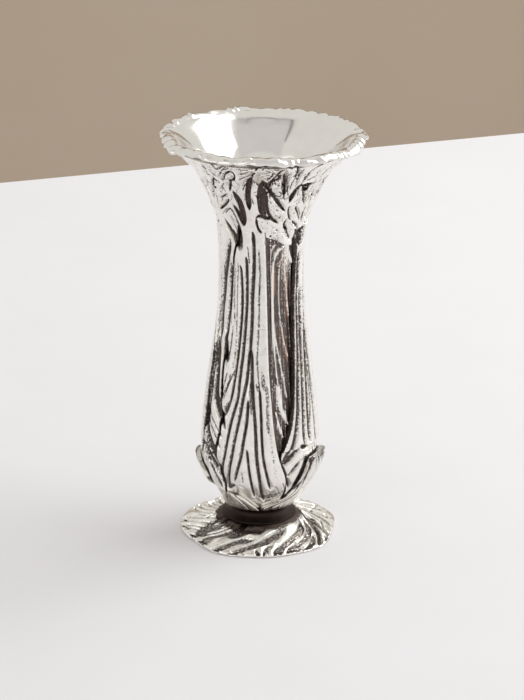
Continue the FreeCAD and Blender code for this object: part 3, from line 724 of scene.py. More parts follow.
leafStrokes = [
    ("slit", 1.6, [(223.4, 217), (226.6, 223), (231, 231), (235.4, 240), (239.4, 251)]),
    ("line", 0.9, [(225, 213), (229.4, 208.6), (233.4, 214), (237, 222), (240, 230), (241.4, 240),
                   (241, 250)]),
    ("slit", 1.3, [(237.4, 226), (239, 236), (239.6, 246)]),
    ("faint", 1.8, [(230, 214), (233.6, 222), (236, 230)]),
    ("slit", 2.0, [(232, 191), (236, 197), (239.6, 204), (242.4, 213), (244.2, 225.5)]),
    ("slit", 1.4, [(232.4, 204.4), (236, 210), (240, 218), (243, 226)]),
    ("slit", 1.7, [(250.4, 178), (248.2, 187), (247.6, 196), (248.4, 203), (249.2, 210)]),
    ("line", 0.9, [(254.4, 172), (252, 177), (250.6, 183)]),
    ("line", 0.6, [(247, 184), (244, 186.6), (242.4, 191)]),
    ("slit", 1.6, [(263, 182), (260.4, 189), (259.6, 199), (260.6, 208), (262.4, 217)]),
    ("slit", 2.2, [(263.4, 190), (264, 200), (263.6, 209), (264.6, 217)]),
    ("slit", 1.3, [(262, 181), (265, 186), (269, 191)]),
    ("groove", 1.3, [(266, 187), (270.6, 192.6), (276, 199.6), (281, 206), (285.4, 211.4)]),
    ("groove", 1.1, [(267, 197), (266.2, 204), (267.6, 211), (270.6, 217.6), (275, 221.6), (278.4, 223.6)]),
    ("groove", 1.5, [(255.8, 218.6), (260, 217), (265, 218.6), (271, 219.6)]),
    ("groove", 0.7, [(256, 219.6), (256.6, 225), (258.4, 230), (261.4, 234)]),
    ("groove", 1.7, [(265.6, 243.4), (270, 241.4), (276, 241.8), (281, 244)]),
    ("groove", 1.7, [(269.6, 188), (271.4, 183.6), (275, 181.4), (279, 180.4), (281.4, 176)]),
    ("groove", 1.3, [(273, 181), (277, 178), (280.4, 173.4), (285, 170.4)]),
    ("slit", 1.0, [(284.6, 174), (285.2, 184), (284.6, 196)]),
    ("line", 0.5, [(282, 186), (283, 194), (285, 200)]),
    ("line", 0.5, [(287.4, 175), (287.6, 186), (288.4, 196)]),
    ("slit", 1.7, [(289.8, 202.6), (292.6, 197), (296.4, 190.6), (300.4, 185)]),
    ("slit", 1.5, [(302, 185.4), (307, 185.4), (314.4, 183)]),
    ("slit", 1.7, [(303, 187), (306, 189.6), (310.6, 186)]),
    ("slit", 0.9, [(303.6, 190), (304.4, 197), (304.6, 204)]),
    ("groove", 0.7, [(290, 207), (289.4, 214), (291, 220)]),
    ("groove", 0.9, [(296, 207), (299.4, 213), (300.6, 219.6)]),
    ("speckle", 1.0, [(297, 203), (297.2, 209)]),
    ("groove", 1.0, [(287.4, 219.6), (285.4, 225), (287.6, 232), (290, 238.6)]),
    ("groove", 0.6, [(292.6, 221), (297.6, 226), (298.8, 232), (297, 238)]),
    ("slit", 1.7, [(308.6, 215), (305.6, 223), (302.4, 231), (300.6, 239), (300.6, 246)]),
    ("slit", 1.1, [(304.6, 227), (303, 236), (301.8, 243)]),
    ("line", 0.8, [(306, 206), (303.4, 214), (301.4, 222)]),
    ("slit", 1.5, [(292.6, 238.4), (294.4, 244), (294.8, 252)]),
    ("groove", 1.3, [(308.6, 180.6), (313, 178.4), (318.6, 175.4)]),
    ("line", 0.6, [(299, 190), (304.6, 180.6), (312, 171.4), (321, 165.4), (334, 160.6)]),
    ("line", 0.6, [(303, 183), (308, 175), (316, 168.4), (326, 163)]),
    ("groove", 0.9, [(300, 168.4), (311, 165.6), (320, 162.2), (328, 159.4), (340, 158)]),
    ("line", 0.7, [(311.4, 209), (315, 199), (319.4, 189), (323.6, 180), (330, 170.6), (338, 162)]),
    ("line", 0.5, [(308.6, 205), (313, 193), (318, 183), (324, 174), (333, 164)]),
    ("faint", 0.9, [(306, 200), (311, 190), (316, 182)]),
    ("slit", 1.6, [(209.6, 175), (213, 178.4), (217.6, 181)]),
    ("slit", 1.4, [(212, 179), (212.6, 186), (216, 187)]),
    ("groove", 0.7, [(212.4, 186), (212.6, 195), (213.6, 204)]),
    ("groove", 0.7, [(222.4, 180), (224, 174.6), (229.6, 172), (233.4, 176), (232.4, 180.4), (227, 179.6)]),
    ("groove", 1.2, [(229.4, 180), (228.6, 186), (229, 191)]),
    ("groove", 0.7, [(220, 189), (223.4, 183.6)]),
    ("groove", 0.8, [(220, 198), (226, 194.4)]),
    ("groove", 0.9, [(218.4, 209), (223.6, 205), (228.4, 199.4)]),
    ("groove", 0.8, [(222, 214.4), (226, 208.4)]),
    ("line", 0.5, [(233, 183), (236.6, 188.6)]),
    ("line", 0.5, [(232.8, 162), (231.6, 170)]),
    ("line", 0.5, [(227, 165), (230.6, 171)]),
    ("line", 0.6, [(239, 180.4), (245, 177.6), (251, 176), (256, 173.4)]),
    ("line", 0.5, [(237, 169), (243, 171), (250, 170), (257, 168)]),
    ("line", 0.5, [(239, 175), (245, 174), (249, 172)]),
    ("groove", 1.7, [(255.6, 171), (258, 166.4), (261, 163.6)]),
    ("groove", 1.1, [(261, 163.4), (266, 163), (271, 165), (273, 166.6)]),
    ("line", 0.6, [(262, 171.6), (264.6, 168), (270, 170)]),
    ("line", 0.5, [(265, 174.6), (271, 173), (276.4, 176)]),
    ("line", 0.5, [(272, 168), (277, 171), (279.6, 169)]),
    ("speckle", 1.8, [(262.6, 182), (266, 184.4), (270, 184)]),
    ("groove", 0.8, [(277, 163.4), (284, 162.4), (292, 163)]),
    ("line", 0.6, [(285, 166), (291, 169), (296, 166.6)]),
    ("groove", 1.0, [(297, 165), (299.6, 170), (297.6, 176)]),
    ("line", 0.5, [(296, 178), (292, 184), (290.4, 190)]),
    ("line", 0.5, [(305, 169), (300, 176), (296, 184)]),
    ("line", 0.5, [(205, 176), (207.4, 184), (209, 193)]),
    ("line", 0.5, [(200.6, 163), (205.6, 171), (209, 176)]),
    ("speckle", 1.0, [(216, 170), (222, 166), (226, 163)]),
    ("speckle", 1.0, [(206, 160), (212, 165), (216, 170)]),
    ("line", 0.5, [(219, 176), (222, 170), (226, 167)]),
    ("line", 0.4, [(213.6, 190), (216.6, 197), (217.6, 205)]),
]
leafLook = {"widen": 1.4, "strength": 1.2}
# shares of the width that carry a groove, its half width in mm, number of forks
stalkGrooves = {
    "front_stalk": ([], 0.4, 0),
    "left_stalk": ([0.1, 0.22, 0.36], 0.36, 3),
    "back_left_stalk": ([0.12, 0.27, 0.42, 0.58, 0.72, 0.84, 0.93], 0.42, 6),
    "back_stalk": ([0.09, 0.2, 0.31, 0.42, 0.53, 0.65, 0.77, 0.89], 0.42, 8),
    "back_right_stalk": ([0.1, 0.24, 0.4, 0.55, 0.7, 0.86], 0.42, 6),
    "right_stalk": ([0.5, 0.58, 0.66, 0.74, 0.82, 0.9, 0.96], 0.3, 4),
}
stalkMesh = {
    "foot": 13.6, "collar": 118.0, "rowStep": 0.27, "columnStep": 0.165, "widen": 1.4, "seed": 40,
    "rightStep": 0.225, "stepDepth": 0.3, "stepEase": 0.3,   # the right stalk is thinner below its step
}


def pieceName(node):
    first, *rest = node.split("_")
    return first + "".join(word.capitalize() for word in rest)


for k, (name, rows) in enumerate(stalkEdges.items()):
    low, high = stalkMesh["foot"], stalkMesh["collar"]
    edges = {"rows": rows, "low": low, "high": high}
    heights = np.linspace(low, high, int((high - low) / stalkMesh["rowStep"]))
    stepHeight = low + stalkMesh["rightStep"] * (high - low)
    widest = max(right - left for share, left, right in rows)
    columns = int(math.radians(widest) * vase["bellyRadius"] / stalkMesh["columnStep"])
    shares, halfWidth, forks = stalkGrooves[name]

    def decorateStalk(sheet):
        drawLines(sheet, ribsBetween(edges, shares, halfWidth, stalkMesh["seed"] + k, forks))
        if name in ("front_stalk", "left_stalk", "right_stalk"):
            ribs = rightRibs if name == "right_stalk" else frontRibs + leftRibs
            drawPhoto(sheet, ribs, stalkMesh["widen"])
            drawPhoto(sheet, leafStrokes, leafLook["widen"], 0.0, leafLook["strength"])

    def stalkInside(z):
        return layerFace(z, layers["innerShare"]) + layers["solder"]

    def stalkOutside(z):
        outside = layerFace(z, outerShare(z))
        if name != "right_stalk":
            return outside
        below = smoothStep(stepHeight + stalkMesh["stepEase"], stepHeight - stalkMesh["stepEase"], z)
        return outside - below * stalkMesh["stepDepth"] * (outside - stalkInside(z))

    made.append(stripPiece(pieceName(name), edges, heights, columns, stalkOutside, stalkInside,
                           decorateStalk, stalkSilver, name))
print("outer stalks ready")

# Inner stalk that shows in the hollow between the front and the right stalk

hollowRidges = [
    ("ridge", 2.2, [(286.4, 240), (288.4, 250), (290.6, 262)]),
    ("ridge", 1.6, [(304, 232), (303.4, 242), (302, 252)]),
    ("thinRidge", 0.8, [(277, 244), (273, 247.5), (270.6, 254), (269.9, 263)]),
    ("ridge", 1.3, [(284, 247), (279, 250), (275.2, 256), (272.6, 266), (271.9, 282), (271.9, 300),
                    (272.2, 320), (273.2, 340), (274.4, 356), (276, 372), (277.6, 386)]),
    ("ridge", 2.3, [(276.4, 378), (278.4, 394), (281.6, 408), (285.2, 417), (288.4, 424)]),
    ("ridge", 1.5, [(275.2, 413), (277.6, 421), (280.6, 430), (283.6, 438)]),
    ("thinRidge", 0.7, [(286, 252), (281.2, 259), (279.2, 268), (278.6, 282), (278.6, 300), (279.6, 314),
                        (282, 332), (285, 346), (288, 357)]),
    ("thinRidge", 0.9, [(273.6, 322), (275, 336), (277, 348), (279.6, 360), (282, 372), (284.8, 386),
                        (287.4, 398)]),
    ("thinRidge", 0.7, [(284, 262), (285.6, 280), (286.8, 300), (288, 316)]),
    ("thinRidge", 0.5, [(293.6, 262), (293.8, 300), (294, 340), (294.2, 380), (293.4, 410)]),
]
# half width in pixels and places where the copper shows through
hollowWarm = [
    (2.6, [(282, 254), (284.6, 270), (286.4, 290), (288, 318)]),
    (2.0, [(281, 326), (284.6, 344), (288, 362)]),
    (1.8, [(293.6, 290), (294, 320), (294.2, 350), (294.2, 372)]),
    (1.6, [(274, 262), (274, 280), (274.6, 296)]),
]
hollow = {
    "inset": 2.8, "floor": 0.25, "rows": 400, "columns": 130, "seed": 31, "widen": 1.3,
    "ribs": 9, "ribHalf": 0.22, "ribDeep": 0.55,
    "dark": 0.97, "pale": 0.45, "paleAzimuth": 43.0, "paleSpread": 9.0, "paleFrom": 95.0, "paleTo": 106.0,
    "stemSides": 12, "stemEnd": 0.25, "stemSink": 0.45, "stemWidth": 1.15,
}
innerEdges = {
    "rows": [(0.0, -6.0, 62.0), (0.5, 2.0, 60.0), (1.0, -2.0, 62.0)],
    "low": 12.52, "high": 118.0, "drop": 0.0,
}


def decorateHollow(sheet):
    # dark, paler near its top, with fine ribs, the ridges of the picture and a few coppery places
    aside = (sheet["azimuth"] - hollow["paleAzimuth"]) / hollow["paleSpread"]
    height = np.interp(sheet["s"], profileS, profileZ)
    pale = np.exp(-aside ** 2) * smoothStep(hollow["paleFrom"], hollow["paleTo"], height)
    sheet["dark"] += hollow["dark"]
    sheet["dark"] -= hollow["pale"] * pale
    shares = np.linspace(0.12, 0.95, hollow["ribs"])
    ribs = ribsBetween(innerEdges, shares, hollow["ribHalf"], hollow["seed"])
    drawLines(sheet, ribs, "thinRidge", 4.0, hollow["ribDeep"])
    drawPhoto(sheet, hollowRidges, hollow["widen"], hollow["inset"])
    for width, points in hollowWarm:
        path = smoothPath([onVase(x, y, hollow["inset"]) for x, y in points], 4)
        near = nearPath(sheet, path, width * pixelSize, 5.0)
        sheet["warm"] = np.maximum(sheet["warm"], np.exp(-near ** 2))
    sheet["height"] -= hollow["floor"]


heights = np.linspace(innerEdges["low"], innerEdges["high"], hollow["rows"])
made.append(stripPiece("innerFrontRightStalk", innerEdges, heights, hollow["columns"],
                       lambda z: layerFace(z, layers["innerShare"]), lambda z: tubeFace(z) + layers["solder"],
                       decorateHollow, hollowSilver, "inner_front_right_stalk"))


def stemTree():
    # round stems along lines of points, slim at both ends
    tree = newTree("stems along paths", [
        ("Sides", "NodeSocketInt"), ("End Share", "NodeSocketFloat"), ("Finish", "NodeSocketMaterial")])
    given = addNode(tree, "NodeGroupInput").outputs
    thick = addNode(tree, "GeometryNodeInputNamedAttribute", {"data_type": "FLOAT"}, {"Name": "thick"})
    lines = addNode(tree, "GeometryNodeMeshToCurve", {}, {0: given["Geometry"]}).outputs["Curve"]
    size = addNode(tree, "GeometryNodeSplineParameter").outputs["Factor"]
    for operation, by in (("MULTIPLY", math.pi), ("SINE", 0.0), ("POWER", 0.35)):
        size = addNode(tree, "ShaderNodeMath", {"operation": operation}, {0: size, 1: by}).outputs[0]
    slim = addNode(tree, "ShaderNodeMapRange", {}, {
        "Value": size, "To Min": given["End Share"], "To Max": 1.0})
    scale = addNode(tree, "ShaderNodeMath", {"operation": "MULTIPLY"}, {
        0: thick.outputs[0], 1: slim.outputs[0]}).outputs[0]
    ring = addNode(tree, "GeometryNodeCurvePrimitiveCircle", {"mode": "RADIUS"}, {
        "Resolution": given["Sides"], "Radius": 1.0})
    tube = addNode(tree, "GeometryNodeCurveToMesh", {}, {
        "Curve": lines, "Profile Curve": ring.outputs[0], "Scale": scale, "Fill Caps": True})
    smooth = addNode(tree, "GeometryNodeSetShadeSmooth", {}, {"Geometry": tube.outputs[0]})
    real = addNode(tree, "GeometryNodeRealizeInstances", {}, {0: smooth.outputs[0]})
    finish = addNode(tree, "GeometryNodeSetMaterial", {}, {
        "Geometry": real.outputs[0], "Material": given["Finish"]})
    addNode(tree, "NodeGroupOutput", {}, {0: finish.outputs[0]})
    return tree


stemPoints, stemLinks, stemThick = [], [], []
for kind, width, points in hollowRidges[2:]:
    thick = width * hollow["stemWidth"] * pixelSize
    path = smoothPath([onVase(x, y, hollow["inset"]) for x, y in points], 4)
    stemLinks += [(len(stemPoints) + k, len(stemPoints) + k + 1) for k in range(len(path) - 1)]
    for azimuth, z in path:
        radius = layerFace(z, layers["innerShare"]) - hollow["floor"] - hollow["stemSink"] * thick
        stemPoints.append(tuple(polar(radius, azimuth, z) * mm))
        stemThick.append(thick * mm)
stemMesh = bpy.data.meshes.new("hollow stems")
stemMesh.from_pydata(stemPoints, stemLinks, [])
stemMesh.attributes.new("thick", "FLOAT", "POINT").data.foreach_set("value", stemThick)
made.append(runTree(addObject("hollow stems", stemMesh), stemTree(), {
    "Sides": hollow["stemSides"], "End Share": hollow["stemEnd"], "Finish": stalkSilver}, "hollowStems"))
print("hollow ready")

# Sheaths wrapped round the base of the bunch

sheathShape = {
    "thickness": 1.2, "standoff": 1.9, "rowStep": 0.18, "columnStep": 0.18,
    "veinHalf": 0.24, "veinDeep": 1.25, "widen": 1.4, "seed": 70,
    "edges": {"round": 0.8, "drop": 0.5, "edgeDark": 0.1, "unseenDark": 0.4},
}
# tip as a share of the belly's height, how far it stands off, number of veins, its two edges
sheaths = {
    "right_sheath": {"tip": 1.0, "off": 0.85, "rib": 16, "rows": [
        (0.0, 3.0, 118.0), (0.10, 6.0, 119.0), (0.20, 26.0, 121.0), (0.35, 39.0, 122.0),
        (0.60, 47.0, 120.0), (0.80, 50.0, 113.0), (0.90, 51.5, 100.0), (1.0, 55.0, 82.0)]},
    "front_sheath": {"tip": 0.60, "off": 0.16, "rib": 2, "rows": [
        (0.0, -58.0, 1.0), (0.25, -56.0, -5.0), (0.50, -52.0, -12.0), (0.80, -46.0, -19.0),
        (1.0, -42.0, -26.0)]},
    "left_sheath": {"tip": 0.90, "off": 0.47, "rib": 9, "rows": [
        (0.0, -136.0, -104.0), (0.20, -135.0, -96.0), (0.40, -131.0, -79.0), (0.60, -126.0, -70.0),
        (0.85, -116.0, -77.0), (1.0, -106.0, -88.0)]},
    "back_sheath": {"tip": 0.91, "off": 0.74, "rib": 11, "rows": [
        (0.0, 121.0, 221.0), (0.30, 126.0, 218.0), (0.60, 140.0, 208.0), (0.85, 152.0, 196.0),
        (1.0, 162.0, 186.0)]},
}

sheathStrokes = [
    ("slit", 1.5, [(226, 484.6), (230, 487), (234.6, 490)]),
    ("groove", 1.1, [(232, 493.6), (242.5, 496.6), (253.4, 502.4), (259.6, 506)]),
    ("speckle", 2.4, [(252, 492), (262, 498), (272, 497), (283, 493)]),
    ("groove", 1.1, [(270, 500.6), (281.6, 497), (292.4, 490.4), (300.4, 482.4), (305, 473), (308, 461),
                     (309.6, 451)]),
    ("line", 0.7, [(306, 486), (312.6, 474), (318, 461), (320.6, 453)]),
    ("line", 0.6, [(309, 487), (316, 472), (322, 458)]),
]

for k, (name, plan) in enumerate(sheaths.items()):
    low = vase["neckTop"] + layers["solder"]
    high = plan["tip"] * vase["belly"]
    edges = {"rows": plan["rows"], "low": low, "high": high, **sheathShape["edges"]}
    heights = np.linspace(low, high, int((high - low) / sheathShape["rowStep"]))
    widest = max(right - left for share, left, right in plan["rows"])
    columns = int(math.radians(widest) * vase["bellyRadius"] / sheathShape["columnStep"])

    def sheathInside(z):
        return layerFace(z, outerShare(z)) + layers["solder"]

    def sheathOutside(z):
        away = plan["off"] * sheathShape["standoff"] * ((z - low) / (high - low)) ** 2
        return sheathInside(z) + away + sheathShape["thickness"]

    def decorateSheath(sheet):
        shares = [(j + 0.5) / plan["rib"] for j in range(plan["rib"])]
        veins = ribsBetween(edges, shares, sheathShape["veinHalf"], sheathShape["seed"] + k)
        drawLines(sheet, veins, "line", strength=sheathShape["veinDeep"])
        drawPhoto(sheet, sheathStrokes, sheathShape["widen"])

    made.append(stripPiece(pieceName(name), edges, heights, columns,
                           sheathOutside, sheathInside, decorateSheath, stalkSilver, name))
print("sheaths ready")

# Leaf sprays under the mouth

# height and radius of the mouth's underside, as shares from the throat to the lip
mouthShares = [(0.0, 0.0), (0.03, 0.09), (0.09, 0.145), (0.18, 0.20), (0.33, 0.285), (0.48, 0.375),
               (0.62, 0.48), (0.74, 0.61), (0.86, 0.79), (0.925, 0.90)]
mouth = {"wall": 1.2, "throatWall": 0.8, "lipWidth": 2.4, "lipDrop": 1.6}


def mouthFace(height):
    share = (height - vase["collar"]) / (vase["top"] - vase["collar"])
    spread = vase["lipRadius"] - mouth["lipWidth"] - vase["throatRadius"]
    return vase["throatRadius"] + spread * along(mouthShares, share)


# leaf: places of its outline in the picture, number of pits, half width of a pit in pixels
leafStipple = [
    ([(259, 222), (266, 222), (275, 225), (287, 230), (286, 238), (276, 240), (266, 237),
      (260, 231)], 70, 0.42),
    ([(268, 199), (276, 204), (284, 212), (284, 222), (276, 220), (269, 211)], 55, 0.42),
    ([(271, 187), (280, 183), (284, 200), (281, 204), (275, 197)], 45, 0.42),
    ([(288, 221), (297, 224), (297, 236), (290, 236)], 26, 0.45),
    ([(291, 209), (296, 210), (299, 219), (292, 219)], 18, 0.42),
    ([(302, 206), (308, 208), (304, 219), (301, 214)], 14, 0.4),
    ([(306, 186), (316, 186), (310, 203), (306, 200)], 24, 0.42),
    ([(262, 169), (280, 170), (276, 180), (264, 179)], 36, 0.42),
    ([(236, 165), (252, 166), (250, 174), (238, 178)], 34, 0.42),
    ([(216, 165), (232, 166), (232, 178), (219, 180)], 34, 0.42),
    ([(286, 162), (312, 163), (296, 176), (288, 172)], 36, 0.42),
    ([(198, 162), (212, 164), (222, 190), (213, 190)], 40, 0.42),
    ([(214, 192), (226, 190), (228, 206), (219, 212)], 40, 0.42),
]


def insideOutline(x, y, outline):
    inside = False
    for (x0, y0), (x1, y1) in zip(outline, outline[1:] + outline[:1]):
        if (y0 > y) != (y1 > y) and x < x0 + (y - y0) * (x1 - x0) / (y1 - y0):
            inside = not inside
    return inside


def stipplePlaces():
    draws = random.Random(11)
    places = []
    for outline, count, halfWidth in leafStipple:
        xs, ys = [x for x, y in outline], [y for x, y in outline]
        while count > 0:
            x, y = draws.uniform(min(xs), max(xs)), draws.uniform(min(ys), max(ys))
            if insideOutline(x, y, outline):
                places.append((onVase(x, y), halfWidth * pixelSize * draws.uniform(0.7, 1.3)))
                count -= 1
    return places


strokesOnVase = [(kind, width * pixelSize, [onVase(x, y) for x, y in points])
                 for kind, width, points in leafStrokes]
pitsOnVase = stipplePlaces()

# which side of the traced front a spray takes its leaves from, and whether it is mirrored
sprays = {
    "front_left_spray": {"middle": -31.0, "half": 29.5, "source": -31.0, "mirror": 1.0},
    "front_right_spray": {"middle": 27.0, "half": 29.5, "source": 27.0, "mirror": 1.0},
    "right_spray": {"middle": 84.0, "half": 27.8, "source": 27.0, "mirror": -1.0},
    "back_right_spray": {"middle": 146.0, "half": 33.8, "source": -31.0, "mirror": -1.0},
    "back_left_spray": {"middle": 209.0, "half": 28.8, "source": 27.0, "mirror": 1.0},
    "left_spray": {"middle": 269.5, "half": 31.0, "source": -31.0, "mirror": -1.0},
}
sprayMesh = {
    "step": 0.165, "columns": 195, "seed": 400, "tracedHalf": 28.5,
    "strokeReach": 36, "pitReach": 32,   # degrees round the source whose strokes and pits are carried over
    "own": {"round": 0.2, "drop": 0.0, "edgeDark": 0.0, "unseenDark": 0.35},
    "carried": {"round": 0.2, "drop": 0.12, "edgeDark": 0.4, "unseenDark": 0.35},
}
# short crooked cuts under the lip
tangle = {"count": 85, "heights": (131.0, 145.2), "length": (0.8, 3.6), "lean": 6.0, "half": (0.12, 0.26)}


def carryOver(azimuth, spray):
    if spray["middle"] == spray["source"]:
        return azimuth
    away = spray["mirror"] * (azimuth - spray["source"])
    return spray["middle"] + away * spray["half"] / sprayMesh["tracedHalf"]


def drawPit(sheet, azimuth, z, halfWidth):
    draw(sheet, "line", halfWidth, [(azimuth, z), (azimuth + 0.4, z)], 0.0)


for name, spray in sprays.items():
    own = spray["middle"] == spray["source"]
    half, middle = spray["half"], spray["middle"]
    lowest, highest = slant(vase["collar"]), slant(vase["leafTop"])
    slants = np.linspace(lowest, highest, int((highest - lowest) / sprayMesh["step"]))
    heights = np.interp(slants, profileS, profileZ)
    edges = {"rows": [(share, middle - half, middle + half) for share in (0.0, 1.0)],
             "low": vase["collar"], "high": vase["leafTop"], **sprayMesh["own" if own else "carried"]}
    draws = random.Random(int(middle) + sprayMesh["seed"])

    def decorateSpray(sheet):
        for kind, halfWidth, path in strokesOnVase:
            moved = [(carryOver(a, spray), z) for a, z in path]
            if own or abs(path[0][0] - spray["source"]) < sprayMesh["strokeReach"]:
                draw(sheet, kind, halfWidth * leafLook["widen"], moved, 3.0, leafLook["strength"])
        if own:
            drawPhoto(sheet, frontRibs + leftRibs + rightRibs, stalkMesh["widen"])
        for (a, z), halfWidth in pitsOnVase:
            if own or abs(a - spray["source"]) < sprayMesh["pitReach"]:
                drawPit(sheet, carryOver(a, spray), z, halfWidth)
        for n in range(tangle["count"]):
            a, z = middle + half * draws.uniform(-1, 1), draws.uniform(*tangle["heights"])
            fall, lean = draws.uniform(*tangle["length"]), draws.uniform(-tangle["lean"], tangle["lean"])
            crook = [(a, z), (a + lean * 0.3, z - fall * 0.6), (a + lean, z - fall)]
            kind = draws.choice(["line", "groove", "speckle"])
            draw(sheet, kind, draws.uniform(*tangle["half"]), crook, 4.0, 0.8)

    made.append(stripPiece(pieceName(name), edges, heights, sprayMesh["columns"], vaseFace,
                           lambda z: mouthFace(z) + layers["solder"], decorateSpray, leafSilver, name))

# Leaf tongue that hangs over the top of the hollow

tongue = {
    "low": 112.6, "high": 118.4, "thickness": 1.0, "stand": 0.05, "steps": 40, "columns": 110,
    "round": 0.35, "drop": 0.3, "edgeDark": 0.45, "unseenDark": 0.6,
    "rows": [(0.0, 35.0, 41.0), (0.15, 27.0, 42.0), (0.34, 17.0, 42.5), (0.52, 9.0, 43.0), (0.66, 4.6, 44.0),
             (1.0, 4.6, 45.0)],
}


def decorateTongue(sheet):
    drawPhoto(sheet, leafStrokes, leafLook["widen"], 0.0, leafLook["strength"])
    for (a, z), halfWidth in pitsOnVase:
        drawPit(sheet, a, z, halfWidth)


heights = np.linspace(tongue["low"], tongue["high"], tongue["steps"])
made.append(stripPiece("leafTongue", tongue, heights, tongue["columns"],
                       lambda z: vaseFace(z) + tongue["stand"], lambda z: vaseFace(z) - tongue["thickness"],
                       decorateTongue, leafSilver, None))
print("sprays ready")


# Foot and neck: rings of points round the axis, closed into one skin

footShape = {
    "widen": 1.6, "deepen": 1.9, "scallop": 0.8, "topDark": 1.3, "lobeDepth": 0.8, "seed": 5,
    "swirl": 30.0, "ribFrom": 98.0, "ribTo": 322.0, "ribSpread": (6.5, 10.5),   # round the back
    "ribTop": 6.9, "ribFall": 5.0, "ribCurl": 1.2, "ribSwing": (0.85, 1.15), "ribReach": (0.8, 1.0),
    "grooveHalf": 0.5, "grooveUneven": (0.6, 1.1),
    "rimInside": 24.6, "rimHeight": 0.9, "rimRound": 0.5, "wall": 1.9,
    "bossRadius": 4.6, "bossHeight": 3.4, "bore": 1.55, "around": 820, "topRows": 104,
}
neckShape = {
    "bore": 6.0, "setBack": 0.15, "hollow": 1.35, "round": 0.8, "dark": 1.3, "around": 240, "rows": 28,
}


def footEdge(azimuth):
    turn = np.radians(azimuth + footShape["swirl"])
    return footShape["lobeDepth"] * (0.6 * np.cos(5 * turn - 0.6) + 0.4 * np.cos(8 * turn + 0.5))


def turnedRings(azimuth, plan):
    # plain rings, each with one radius, one height and one darkness
    around = len(azimuth)
    rings = [polar(np.full(around, radius), azimuth, np.full(around, z)) for radius, z, dark in plan]
    return rings, [np.full(around, dark) for radius, z, dark in plan]


def ringObject(name, rings, darks, material, node):
    # rings of points, the last joined to the first, each closed round the axis
    around = rings[0].shape[0]
    faces = []
    for j in range(len(rings)):
        low, high = j * around, ((j + 1) % len(rings)) * around
        for i in range(around):
            n = (i + 1) % around
            faces.append((low + i, low + n, high + n, high + i))
    values = {"dark": np.concatenate(darks), "warm": np.zeros(len(rings) * around)}
    piece = meshObject(name, np.concatenate(rings), faces, values, material)
    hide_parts(node)
    return piece


footStrokes = [
    ("trench", 1.6, [(224, 511), (216, 516.6), (208, 521), (201, 525.4), (195.6, 531), (188.6, 540)]),
    ("trench", 1.7, [(232, 512.6), (225.6, 517), (219, 521.6), (211, 525.4), (203, 528.4), (196, 533)]),
    ("trench", 2.3, [(248, 521), (238, 525), (228, 529.6), (218, 532.4), (208, 534.6), (201, 537.4),
                     (194, 543.4)]),
    ("trench", 1.8, [(210, 536), (204, 540), (198, 546)]),
    ("trench", 2.3, [(262, 527.6), (250, 527), (240, 528.6), (232, 530.8)]),
    ("trench", 2.3, [(252, 535.6), (243, 536.4), (234, 539), (225, 543), (217, 547), (209.6, 551)]),
    ("trench", 2.6, [(283, 527), (275, 533), (266, 537.6), (258, 541), (250, 543.6), (241, 547),
                     (233, 551), (226, 554.6)]),
    ("line", 0.6, [(250.6, 551), (243, 553), (236, 556)]),
    ("trench", 1.8, [(256.4, 547), (258, 553), (256, 557)]),
    ("trench", 1.8, [(300, 519), (300.4, 525), (296.6, 531), (290.4, 536.4), (285, 541.4), (281, 548),
                     (280, 556)]),
    ("trench", 1.5, [(304, 517), (308, 524), (306.6, 531), (301.6, 539), (295, 546.4), (289, 555)]),
    ("trench", 1.5, [(305, 513.4), (311, 519), (316, 526), (319, 533), (320, 541), (318, 549)]),
    ("trench", 0.9, [(302, 545), (296.4, 551), (292, 557)]),
    ("trench", 1.4, [(312.4, 531), (312, 540), (307, 548), (300.4, 555)]),
    ("trench", 1.7, [(325.4, 533), (326.4, 540), (325, 546)]),
    ("line", 0.8, [(331, 532), (332.6, 537), (332, 542)]),
    ("trench", 1.1, [(296, 540), (290, 547), (286, 556)]),
    ("trench", 1.2, [(279, 543), (276, 550), (274.4, 557)]),
    ("trench", 0.9, [(271.4, 541), (265.4, 547), (263, 556)]),
    ("line", 0.8, [(268, 546), (268.4, 552), (269, 557)]),
    ("trench", 0.9, [(314, 548), (311, 552), (309, 555)]),
    ("trench", 1.1, [(303, 512), (307, 514), (312, 518)]),
    ("line", 0.7, [(321, 518), (323.4, 522), (325, 526)]),
    ("line", 0.6, [(206, 507.4), (213, 507), (219, 505)]),
    ("line", 0.5, [(200, 513), (208, 513), (218, 508.6)]),
    ("line", 0.5, [(196, 517), (206, 515), (214, 512)]),
    ("line", 0.6, [(309, 509), (313, 506.4), (317, 503)]),
    ("speckle", 1.3, [(187, 524), (188.6, 527)]),
    ("speckle", 1.2, [(324, 513), (326.6, 515)]),
]


